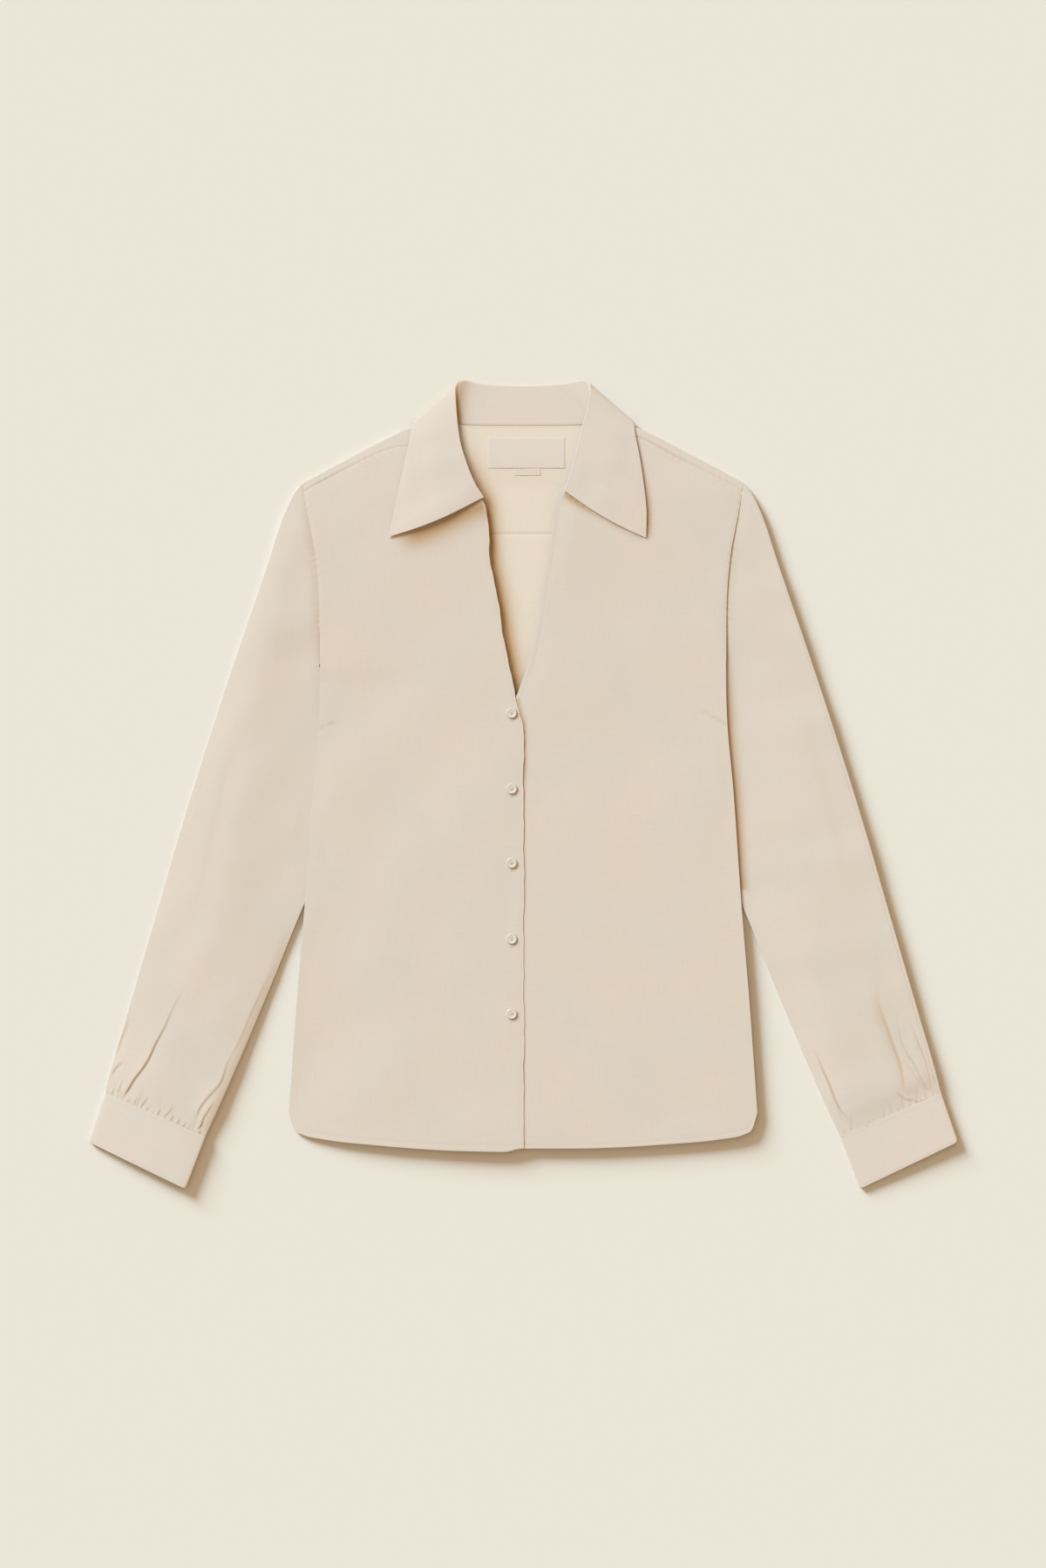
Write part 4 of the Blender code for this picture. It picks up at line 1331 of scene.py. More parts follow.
@dataclass
class Cuff(ClothPiece):
    """A pressed cuff, its corners a little rounded."""

    side: Side = Side.RIGHT
    closed: bool = True
    finish: ClothFinish = BAND
    seam: tuple[Point, Point] = ((0.3842, -0.2842), (0.2914, -0.3240))
    end: tuple[Point, Point] = ((0.3992, -0.3280), (0.3096, -0.3712))
    heights: Point = (0.0046, 0.0046)  # at its outer and its inner fold
    arch: float = 0.0  # how far it stands up between them
    square: float = 0.28
    stops: Triple = (0.45, 0.50, 0.95)  # its top, inner fold and underside
    seam_groove: Triple = (0.00004, 0.0030, 0.0009)  # depth, place, width
    corner: float = 0.0026
    seam_lap: float = 0.0009
    uneven: Undulation = Undulation(0.00008, 0.05, 21)

    def surface(self, u: Array, v: Array) -> Skin:
        """Lays the cuff out."""
        steps = Line(((0, 0), (0.2, 0.06), (0.5, 0.5), (0.8, 0.94), (1, 1)))(v)
        outer = between(np.array(self.seam[0]), np.array(self.end[0]), steps[:, None])
        inner = between(np.array(self.seam[1]), np.array(self.end[1]), steps[:, None])
        deep = math.dist(self.seam[0], self.end[0])
        from_end = (1.0 - steps) * deep
        width = np.hypot(*(inner - outer).T)
        across = (inner - outer) / width[:, None]
        down = (np.array(self.end[0]) - np.array(self.seam[0])) / deep
        lap = self.seam_lap * smooth(1.0 - steps * deep / 0.004)
        half = min(self.heights) / 2
        far, level = flattened(u, width, (half, half), self.stops, self.square)
        turned = np.clip(1.0 - np.square(1.0 - from_end / self.corner), 0, 1)
        inset = self.corner * (1.0 - np.sqrt(turned))
        inset = np.where(from_end < self.corner, inset, 0.0)
        far = half + (far - half) * (1.0 - 2.0 * inset / width) + inset
        place = outer + across * far[:, None] - down * lap[:, None]
        rise = np.maximum(level, 0.0) * self.uneven.relief(place[:, 0], place[:, 1])
        groove, below, wide = self.seam_groove
        rise -= groove * np.maximum(level, 0.0) * hump((steps * deep - below) / wide)
        pinch = 1.0 - 0.04 * hump(from_end / 0.0008)
        share = np.clip(far / width, 0, 1)
        height = between(self.heights[0], self.heights[1], share)
        height = height + self.arch * np.sqrt(4.0 * share * (1.0 - share))
        z = height * (0.5 + 0.5 * level * pinch) + rise * smooth(from_end / 0.004)
        z = np.maximum(z, 0.0)
        x = self.side.value * place[:, 0]
        grain = np.column_stack([np.where(level > 0, far, -far), -steps * deep])
        return Skin(np.column_stack([x, place[:, 1], z]), grain, np.zeros(u.shape))


@dataclass
class Collar(ClothPiece):
    """The collar: stand, roll and fall, from one front's point round the neck to the other's."""

    finish: ClothFinish = BAND
    held: Held = Held.FOLDED
    wall_offset: float = 0.0
    edges_over: Rows = ()
    edges_under: Rows = ()
    over: Rows = ()
    under: Rows = ()
    stand_end: float = 0.22  # the share of its depth that is stand, then roll, then fall
    roll_end: float = 0.36
    fold_station: float = 0.60  # where it turns from lying on the fronts to lying behind
    roll_radius: float = 0.0006
    corner_roll: float = 0.0006
    lap: float = 0.0035
    gap: float = 0.0004
    off_floor: float = 0.0001
    arch: float = 0.0006
    end_bow: float = 0.0034
    point_lifts: Point = (0.0022, 0.0000)  # how far each point's lower edge stands up
    seam_groove: float = 0.00015
    stand_painted_shade: float = 0.70  # painted shade: how dark it is inside the stand beside the neck, and at the fold
    stand_painted_shade_at: Point = (-0.0620, 0.0090)
    fold_painted_shade: float = 0.20
    fold_painted_shade_width: float = 0.035
    square: float = 0.25
    uneven: Undulation = Undulation(0.00020, 0.07, 31)

    def __post_init__(self) -> None:
        """Fits the collar's and the fronts' lines."""
        self.edge_over, self.edge_under = Line(self.edges_over), Line(self.edges_under)
        self.sections = {
            over: Line([(share, *(n / 10000 for n in spots), turn) for share, *spots, turn in rows])
            for over, rows in ((True, self.over), (False, self.under))
        }

    def row(self, u: Array, share: float, over: bool) -> Array:
        """One laid section.

        Args:
            u: how far each vertex is from the neck seam to the outer edge, 0 to 1.
            share: how far round the section is, 0 at the point to 1 at the middle back.
            over: whether it is on the upper front's side.

        Returns:
            The points, and the share of the fall at each as a fourth column.
        """
        station = self.sections[over](share)
        seam, roll, edge = station[0:3], station[3:6], station[6:9]
        turn = math.radians(station[9])
        corner = float(smooth(1.0 - abs(share - self.fold_station) / 0.12))
        radius = self.roll_radius + self.corner_roll * corner
        along = (roll - seam) / np.linalg.norm(roll - seam)
        level = np.cross(along, (0.0, 0.0, 1.0))
        level /= np.linalg.norm(level)
        rise = np.cross(level, along)
        across = math.sin(turn) * rise + math.cos(turn) * level
        centre = roll - along * radius
        stand_end, roll_end = self.stand_end, self.roll_end
        rolled = np.clip((u - stand_end) / (roll_end - stand_end), 0, 1)
        angle = between(-math.pi / 2, math.pi / 2, rolled)
        forward, sideways = rounded(angle, self.square)
        arc = centre + radius * (forward[:, None] * along + sideways[:, None] * across)
        stand = between(seam, centre - across * radius, np.clip(u / stand_end, 0, 1)[:, None])
        fall_share = np.clip((u - roll_end) / (1 - roll_end), 0, 1)
        fall = between(centre + across * radius, edge, fall_share[:, None])
        points = np.where((u < stand_end)[:, None], stand, np.where((u < roll_end)[:, None], arc, fall))
        return np.column_stack([points, fall_share])

    def laid(self, rows: Array, share: float, over: bool) -> Array:
        """Lays a section over the front and its shoulder, or beneath the yoke behind it."""
        at = self.layout
        x, y, z, fall = rows.T
        half = self.wall / 2
        if share > self.fold_station:
            beyond = y - at.yoke_top(np.minimum(x, at.shoulder_tip)) - at.fold_depth
            most = half + self.off_floor + np.maximum(0.0, beyond - 0.002) * 0.5
            z = np.where(fall > 0.3, np.minimum(z, most), z)
            return np.column_stack([x, y, z])
        edge = self.edge_over if over else self.edge_under
        lift = at.lap(x) if over else 0.0
        on_front = (y < at.shoulder(np.maximum(x, at.neck_side))) & (
            x > edge(np.minimum(y, self.edges_over[-1][0])) - self.lap
        )
        floor = at.front_top(x, y, Side.RIGHT if over else Side.LEFT) + lift + self.gap + half
        z = np.where(on_front, np.maximum(z, floor), z)
        fade = 1.0 - float(smooth((share - 0.45) / 0.1))
        z = z + self.arch * np.sin(math.pi * fall) * fade
        near_end = float(smooth(1.0 - share / 0.26))
        lifted = np.sin(math.pi * np.clip(fall * 1.04, 0, 1))
        z = z + self.point_lifts[0 if over else 1] * near_end * lifted
        y = y - self.end_bow * np.sin(math.pi * fall) * float(smooth(1.0 - share / 0.12))
        return np.column_stack([x, y, z])

    def spot(self, u: float, share: float, over: bool) -> Array:
        """One laid point of the collar."""
        return self.laid(self.row(np.array([u]), share, over), share, over)[0]

    def surface(self, u: Array, v: Array) -> Skin:
        """Lays the collar from point to point."""
        spacing = Line(((0, 0), (0.06, 0.03), (0.2, 0.14), (0.5, 0.5), (1, 1)))
        points, grain = np.zeros((len(u), 3)), np.zeros((len(u), 2))
        depth = np.zeros(len(u))
        for station, mine in by_row(v):
            over = station <= 0.5
            share = float(spacing(1.0 - abs(2.0 * station - 1.0)))
            section = self.row(u[mine], share, over)
            laid = self.laid(section, share, over)
            fall = section[:, 3]
            calm = float(smooth((self.fold_station - 0.08 - share) / 0.1)) * smooth(fall / 0.15)
            laid[:, 2] += self.uneven.relief(laid[:, 0], laid[:, 1]) * calm * smooth((1 - fall) / 0.1)
            laid[:, 2] -= self.seam_groove * hump((fall - 0.965) / 0.012) * calm
            laid[:, 0] *= -1.0 if over else 1.0
            points[mine] = laid
            grain[mine] = np.column_stack([np.full(len(mine), station * 0.5), u[mine] * 0.1])
            # painted shade inside the stand beside the neck, and at the turn from the fronts to behind
            stand = smooth((0.34 - u[mine]) / 0.05) * float(smooth((share - 0.56) / 0.08))
            place, wide = self.stand_painted_shade_at
            depth[mine] = self.stand_painted_shade * stand * hump((laid[:, 0] - place) / wide)
            folded = hump((share - self.fold_station) / self.fold_painted_shade_width)
            depth[mine] += self.fold_painted_shade * smooth((u[mine] - 0.3) / 0.05) * folded
        return Skin(points, grain, depth)


@dataclass
class Label(ClothPiece):
    """A bare woven label on the yoke, its two ends turned under."""

    place: Point = (0.0, 0.0)
    size: Point = (0.07, 0.028)
    finish: ClothFinish = TAPE
    wall: float = 0.0003
    rim: float = 0.00010
    yoke_wall: float = 0.0008
    lift: float = 0.00005
    tilt: float = 0.0
    turned: Triple = (0.0001, 0.0022, 0.0006)  # its ends' turn: depth, place, width
    ripple: float = 0.00015  # how far its lower edge stands up

    def surface(self, u: Array, v: Array) -> Skin:
        """Lays the label on the yoke."""
        at = self.layout
        out, down = (u - 0.5) * self.size[0], (v - 0.5) * self.size[1]
        x = self.place[0] + out * math.cos(self.tilt) - down * math.sin(self.tilt)
        y = self.place[1] + down * math.cos(self.tilt) + out * math.sin(self.tilt)
        z = at.underside(x, y) + self.yoke_wall + self.wall + self.lift
        end = np.minimum(u, 1 - u) * self.size[0]
        depth, inward, wide = self.turned
        z -= depth * hump((end - inward) / wide)
        z += self.ripple * smooth((0.35 - v) / 0.35) * np.sin(u * 5.0) ** 2
        return Skin(np.column_stack([x, y, z]), np.column_stack([out, down]), np.zeros(u.shape))


@dataclass
class Stitching:
    """Rows of stitches on the cloth, each stitch a small bead of thread."""

    name: str
    finish: ThreadFinish = SEWING
    pitch: float = 0.0027
    length: float = 0.0020
    thick: float = 0.00032
    sink: float = 0.00008
    mesh: Mesh = field(default_factory=bmesh.new, repr=False)
    count: int = 0

    def bead(self, start: Vector, end: Vector, normal: Vector) -> None:
        """One stitch between two points on the cloth."""
        along = (end - start).normalized()
        side = normal.cross(along).normalized()
        up = along.cross(side)
        middle = (start + end) / 2 + up * (self.thick / 4 - self.sink)
        turn = Matrix((along, side, up)).transposed().to_4x4()
        size = Matrix.Diagonal(((end - start).length / 2, self.thick / 2, self.thick / 2, 1.0))
        bmesh.ops.create_icosphere(
            self.mesh, subdivisions=1, radius=1.0, matrix=Matrix.Translation(middle) @ turn @ size
        )
        self.count += 1

    def run(self, cloth: ClothPiece, line: Array) -> None:
        """Sews a row along a line seen from above.

        Args:
            cloth: the piece it is sewn into.
            line: points (x, y) along it.
        """
        far = Track.lengths(line)
        for i in range(int(far[-1] / self.pitch)):
            ends = []
            for at in (i * self.pitch, i * self.pitch + self.length):
                x, y = (float(np.interp(at, far, line[:, axis])) for axis in (0, 1))
                ends.append(cloth.seat(x, y))
            if all(ends) and abs(ends[0][0].z - ends[1][0].z) < self.length / 2:
                self.bead(ends[0][0], ends[1][0], (ends[0][1] + ends[1][1]).normalized())

    def build(self) -> Object:
        """Makes the rows one piece."""
        piece = add_piece(self.name, self.mesh, self.finish.material())
        fit(piece, self.finish.slot)
        return piece


@dataclass
class Button:
    """A four-hole shell button with its thread, on the upper front."""

    number: int
    place: Point
    cloth: ClothPiece
    sides: int = 40
    turn: float = 0.4
    profile: Rows = (
        (0.0000, 0.0000), (0.0036, 0.0000), (0.0044, 0.0003), (0.0048, 0.0009), (0.00478, 0.0015),
        (0.0045, 0.0019), (0.0041, 0.00205), (0.0037, 0.0020), (0.0033, 0.00185), (0.0029, 0.00175),
        (0.0000, 0.0017),
    )
    hole_radius: float = 0.00044
    hole_spread: float = 0.00115
    lift: float = 0.0004
    strand: Point = (0.00021, 0.00030)  # half a strand's width and height
    strand_pitch: float = 0.00036
    strand_reach: float = 1.25  # half its length, by how far the holes are from the middle
    strand_lift: float = 0.00002
    crossing: float = 0.00016  # how much higher the second pair lies

    def body(self) -> Mesh:
        """The turned button, its face pierced by four holes."""
        bm = bmesh.new()
        rim = []
        for radius, height in self.profile[1:-1]:
            level = Matrix.Translation((0, 0, height))
            made = bmesh.ops.create_circle(
                bm, cap_ends=False, segments=self.sides, radius=radius, matrix=level
            )
            rim.append(made["verts"])
        loops = [self.loop_edges(verts) for verts in rim]
        for low, high in zip(loops, loops[1:]):
            bmesh.ops.bridge_loops(bm, edges=low + high)
        holes = {}
        for face_height in (self.profile[0][1], self.profile[-2][1]):
            holes[face_height] = []
            for quarter in range(4):
                angle = self.turn + math.pi / 2 * quarter
                x, y = self.hole_spread * math.cos(angle), self.hole_spread * math.sin(angle)
                spot = Matrix.Translation((x, y, face_height))
                made = bmesh.ops.create_circle(
                    bm, cap_ends=False, segments=12, radius=self.hole_radius, matrix=spot
                )
                holes[face_height].append(self.loop_edges(made["verts"]))
        for face_height, outer in ((self.profile[0][1], loops[0]), (self.profile[-2][1], loops[-1])):
            edges = outer + [e for loop in holes[face_height] for e in loop]
            bmesh.ops.triangle_fill(bm, use_beauty=True, use_dissolve=False, edges=edges)
        for low, high in zip(*holes.values()):
            bmesh.ops.bridge_loops(bm, edges=low + high)
        bmesh.ops.recalc_face_normals(bm, faces=bm.faces[:])
        return bm

    @staticmethod
    def loop_edges(verts: Sequence[bmesh.types.BMVert]) -> list[bmesh.types.BMEdge]:
        """The edges of a circle just made, in the same order on each run."""
        mine = set(verts)
        around = (e for v in verts for e in v.link_edges if e.other_vert(v) in mine)
        return list(dict.fromkeys(around))

    def build(self) -> None:
        """Makes the button and its thread, seated on the front."""
        spot, normal = self.cloth.seat(*self.place)
        lean = Vector((0, 0, 1)).rotation_difference(normal).to_matrix().to_4x4()
        seat = Matrix.Translation(spot + normal * self.lift) @ lean
        bm = self.body()
        bmesh.ops.transform(bm, matrix=seat, verts=bm.verts[:])
        button = add_piece(f"shell_button_{self.number}", bm, SHELL.material())
        button.data.set_sharp_from_angle(angle=math.radians(50))
        fit(button, SHELL.slot, f"button_{self.number}")
        thread = bmesh.new()
        face = self.profile[-2][1]
        for pair in (0, 1):
            angle = self.turn + math.pi / 2 * pair
            for strand in (-0.5, 0.5):
                side = Vector((-math.sin(angle), math.cos(angle), 0)) * strand * self.strand_pitch
                turn = Matrix.Rotation(angle, 4, "Z")
                size = Matrix.Diagonal((self.hole_spread * self.strand_reach, *self.strand, 1.0))
                spot = side + Vector((0, 0, face + self.strand_lift + self.crossing * pair))
                bmesh.ops.create_icosphere(
                    thread, subdivisions=2, radius=1.0, matrix=Matrix.Translation(spot) @ turn @ size
                )
        bmesh.ops.transform(thread, matrix=seat, verts=thread.verts[:])
        sewn = add_piece(f"button_thread_{self.number}", thread, BUTTON_THREAD.material())
        fit(sewn, BUTTON_THREAD.slot)


@dataclass
class Studio:
    """A pale floor, soft light from the upper left, and a camera straight above."""

    frame_height: float = 1.4392
    middle: Point = (0.0, 0.0004)
    distance: float = 5.0
    cloth_level: float = 0.004
    floor_half: float = 30.0
    floor_drop: float = 0.0003
    turn: float = 132.0  # the suns' direction, and their heights and widths, in degrees
    key: Colour = (0.48, 0.61, 0.73)
    floor_height: float = 18.0
    floor_width: float = 21.0
    cloth_height: float = 40.0
    cloth_width: float = 30.0
    soft: Colour = (0.05, 0.05, 0.05)
    soft_height: float = 55.0
    soft_width: float = 50.0
    world: Colour = (0.51, 0.38, 0.26)

    def sun(self, name: str, share: Colour, height: float, width: float) -> Object:
        """A distant soft light from the upper left.

        Args:
            name: its name.
            share: how much of the light on a level face it gives, in each colour.
            height: how high it stands, in degrees.
            width: how wide it looks, in degrees, which softens its shadows.

        Returns:
            The lamp.
        """
        data = bpy.data.lights.new(name, "SUN")
        brightest = max(share)
        data.energy = math.pi * brightest / math.sin(math.radians(height))
        data.color = tuple(c / brightest for c in share)
        data.angle = math.radians(width)
        lamp = bpy.data.objects.new(name, data)
        a, e = math.radians(self.turn), math.radians(height)
        towards = Vector((math.cos(a) * math.cos(e), math.sin(a) * math.cos(e), math.sin(e)))
        lamp.rotation_mode = "QUATERNION"
        lamp.rotation_quaternion = towards.to_track_quat("Z", "Y")
        bpy.context.collection.objects.link(lamp)
        return lamp

    @staticmethod
    def aim(lamp: Object, floor: Object, state: str) -> None:
        """Lights the floor alone, or everything but the floor.

        Args:
            lamp: the light.
            floor: the floor.
            state: INCLUDE to light the floor alone, EXCLUDE to light all the rest.
        """
        lit = bpy.data.collections.new(f"{lamp.name}_lights")
        lit.objects.link(floor)
        lit.collection_objects[0].light_linking.link_state = state
        lamp.light_linking.receiver_collection = lit

    def build(self) -> None:
        """Makes the floor, the lights and the camera."""
        bm = bmesh.new()
        bmesh.ops.create_grid(bm, x_segments=1, y_segments=1, size=self.floor_half)
        bmesh.ops.translate(bm, verts=bm.verts[:], vec=(0.0, 0.0, -self.floor_drop))
        floor = add_piece("floor", bm, FloorFinish().material())
        self.aim(self.sun("floor_key", self.key, self.floor_height, self.floor_width), floor, "INCLUDE")
        self.aim(self.sun("cloth_key", self.key, self.cloth_height, self.cloth_width), floor, "EXCLUDE")
        self.sun("softbox", self.soft, self.soft_height, self.soft_width)
        world = bpy.data.worlds.new("studio")
        world.use_nodes = True
        glow = world.node_tree.nodes["Background"]
        glow.inputs["Color"].default_value = (*self.world, 1.0)
        glow.inputs["Strength"].default_value = 1.0
        bpy.context.scene.world = world
        data = bpy.data.cameras.new("camera")
        data.sensor_width = 36.0
        data.lens = data.sensor_width * (self.distance - self.cloth_level) / self.frame_height
        data.clip_end = 100.0
        camera = bpy.data.objects.new("camera", data)
        camera.location = (*self.middle, self.distance)
        bpy.context.collection.objects.link(camera)
        bpy.context.scene.camera = camera
        bpy.context.scene.view_settings.view_transform = "Standard"


EDGE_OVER: Rows = tenths(
    -3340, -8, 440, -6, 540, 4, 640, 26, 800, 66, 960, 99, 1280, 160, 1680, 227, 2064, 302, 2568, 346,
    2640, 385, 2790, 560, 2970, 695, 3166, 755,
)
EDGE_UNDER: Rows = tenths(
    -3340, -216, 250, -216, 500, -165, 777, -50, 970, 24, 1325, 118, 1828, 200, 2242, 270, 2568, 320,
    2640, 365, 2790, 560, 2970, 695, 3166, 755,
)

ARMHOLE: Points = tenths(2015, 2700, 1976, 2490, 1903, 2100, 1870, 1700, 1863, 1100)
SHOULDER_SEAM: Points = tenths(1020, 3120, 1250, 3060, 1550, 2925, 1920, 2747)

# Sections of the collar round the back of the neck, the same on both sides. Each row: how
# far round, then the neck seam, the roll and the outer edge in tenths of a millimetre, and
# the turn at the roll in degrees
COLLAR_BACK: Rows = (
    (0.70, 600, 3308, 27, 465, 3692, 22, 900, 3270, 6, -80),
    (0.82, 400, 3299, 27, 330, 3670, 16, 480, 3120, 6, -90),
    (1.00, 0, 3297, 27, 0, 3656, 14, 0, 3090, 6, -90),
)

# The right sleeve's gathers that show. Each row: how dark the painted shade is, then its points in tenths
# of a millimetre
RIGHT_GATHERS: Rows = (
    (0.17, 3662, -2686, 3697, -2771, 3726, -2856),
    (0.25, 3740, -2793, 3758, -2812, 3776, -2850),
    (0.30, 3604, -2880, 3620, -2900, 3640, -2926),
    (0.28, 3540, -2868, 3556, -2905, 3580, -2946),
    (0.39, 3447, -2850, 3469, -2910, 3512, -2966),
    (0.19, 3424, -2940, 3440, -2975, 3462, -3000),
    (0.25, 3318, -2980, 3338, -3008, 3364, -3036),
    (0.33, 3211, -2950, 3254, -3014, 3304, -3050),
    (0.22, 3197, -3035, 3215, -3060, 3240, -3090),
    (0.28, 3144, -3058, 3160, -3085, 3184, -3118),
    (0.22, 3083, -3095, 3100, -3118, 3124, -3146),
    (0.30, 2926, -3043, 2947, -3114, 2994, -3172),
    (0.25, 2947, -3165, 2962, -3190, 2982, -3216),
)


# The right sleeve's folds, with shade painted along them
RIGHT_FOLDS: tuple[Crease, ...] = (
    Crease(tenths(3080, -1816, 3200, -2032, 3296, -2240, 3368, -2373, 3429, -2506, 3490, -2607,
                  3562, -2699, 3612, -2781, 3663, -2862),
           0.00042, 0.0060, fade=(0.8, 0.08), shade=0.85, steep=0.0005),
    Crease(tenths(3600, -2080, 3648, -2240, 3694, -2352, 3733, -2495),
           0.00018, 0.005, fade=(0.5, 0.3), shade=0.23),
    Crease(tenths(3664, -2536, 3734, -2597, 3781, -2678), 0.00025, 0.004, fade=(0.4, 0.3), shade=0.33),
    Crease(tenths(2664, -2460, 2720, -2576, 2766, -2720, 2826, -2802, 2918, -2903, 2970, -2984,
                  3000, -3066), 0.00028, 0.0045, fade=(0.45, 0.15), shade=0.40),
    Crease(tenths(2832, -2896, 2888, -2995, 2934, -3066, 2959, -3138, 2990, -3163),
           0.00025, 0.004, fade=(0.35, 0.15), shade=0.36),
    Crease(tenths(2304, -1680, 2400, -1896, 2504, -2120, 2600, -2352, 2682, -2502, 2756, -2648),
           0.00015, 0.005, fade=(0.4, 0.4), shade=0.10),
    Crease(tenths(2560, 800, 2740, 100, 2900, -600, 3060, -1300),
           0.00030, 0.0140, fade=(0.4, 0.4), shade=0.00, steep=0.0050),
    *(
        Crease(
            tenths(*stroke), 0.00020, 0.0018, fade=(0.5, 0.25), shade=dark, steep=0.0005,
            shade_width=0.0008,
        )
        for dark, *stroke in RIGHT_GATHERS
    ),
)

# Painted shadows on the right sleeve: beside the armhole and down its inner fold
RIGHT_PAINTED_SHADOWS: tuple[PaintedShadow, ...] = (
    PaintedShadow(tenths(2015, 2700, 1903, 2100, 1863, 1100, 1900, 200), 0.0080, 0.09, ends=(0.1, 0.3)),
    PaintedShadow(tenths(2050, -1200, 2262, -1725, 2560, -2440, 2812, -3015, 2920, -3246),
         0.0065, 0.24, ends=(0.35, 0.05)),
)

# Painted shadows on the left sleeve: beside the armhole, then under the body's side, and beside its first
# fold
LEFT_PAINTED_SHADOWS: tuple[PaintedShadow, ...] = (
    PaintedShadow(ARMHOLE, 0.0014, 0.60, ends=(0.1, 0.05)),
    PaintedShadow(tenths(1863, 1500, 1863, 1100, 1874, 570, 1900, 200, 1928, -30, 1960, -500, 1995, -1000),
         0.0065, 0.78, ends=(0.4, 0.02), near=0.0030),
    PaintedShadow(tenths(3243, -1840, 3268, -2003, 3317, -2150, 3394, -2370, 3470, -2580, 3512, -2861),
         0.0060, 0.20, side=-1, ends=(0.5, 0.3)),
)

# The left sleeve's folds, with shade painted along them
LEFT_FOLDS: tuple[Crease, ...] = (
    Crease(tenths(3243, -1840, 3268, -2003, 3317, -2150, 3358, -2248, 3394, -2370, 3431, -2461,
                  3470, -2580, 3494, -2720, 3512, -2861),
           0.00045, 0.007, fade=(0.5, 0.1), shade=0.32, steep=0.0010, shade_width=0.0016),
    Crease(tenths(3390, -1906, 3406, -2044, 3439, -2118, 3472, -2330, 3505, -2428, 3537, -2493,
                  3586, -2558, 3651, -2689, 3692, -2762, 3725, -2828),
           0.00034, 0.0035, fade=(0.6, 0.1), shade=0.36),
    Crease(tenths(3529, -2085, 3562, -2191, 3602, -2297, 3643, -2403, 3684, -2510, 3717, -2624,
                  3742, -2738, 3750, -2836), 0.00040, 0.0035, fade=(0.5, 0.1), shade=0.44),
    Crease(tenths(3488, -2493, 3530, -2570, 3590, -2660, 3640, -2730, 3700, -2820),
           0.00022, 0.0025, fade=(0.4, 0.2), shade=0.21),
    Crease(tenths(3406, -2787, 3464, -2852, 3521, -2893, 3578, -2896, 3627, -2914, 3684, -2902,
                  3758, -2873), 0.00022, 0.0025, fade=(0.3, 0.2), shade=0.23),
    Crease(tenths(2624, -2360, 2720, -2552, 2802, -2744, 2872, -2924, 2996, -3090),
           0.00030, 0.0045, lean=-1, fade=(0.4, 0.15), shade=0.23),
    Crease(tenths(2686, -2526, 2792, -2710, 2885, -2940, 2928, -3072),
           0.00022, 0.0030, lean=-1, fade=(0.4, 0.2), shade=0.18),
    Crease(tenths(3290, -1400, 3290, -1800, 3310, -2100, 3350, -2450),
           0.00030, 0.0100, fade=(0.5, 0.4), shade=0.10, steep=0.0040, shade_width=0.0060),
    Crease(tenths(2500, 900, 2700, 200, 2880, -500, 3040, -1200),
           0.00030, 0.0140, lean=-1, fade=(0.4, 0.4), shade=0.00, steep=0.0050),
)


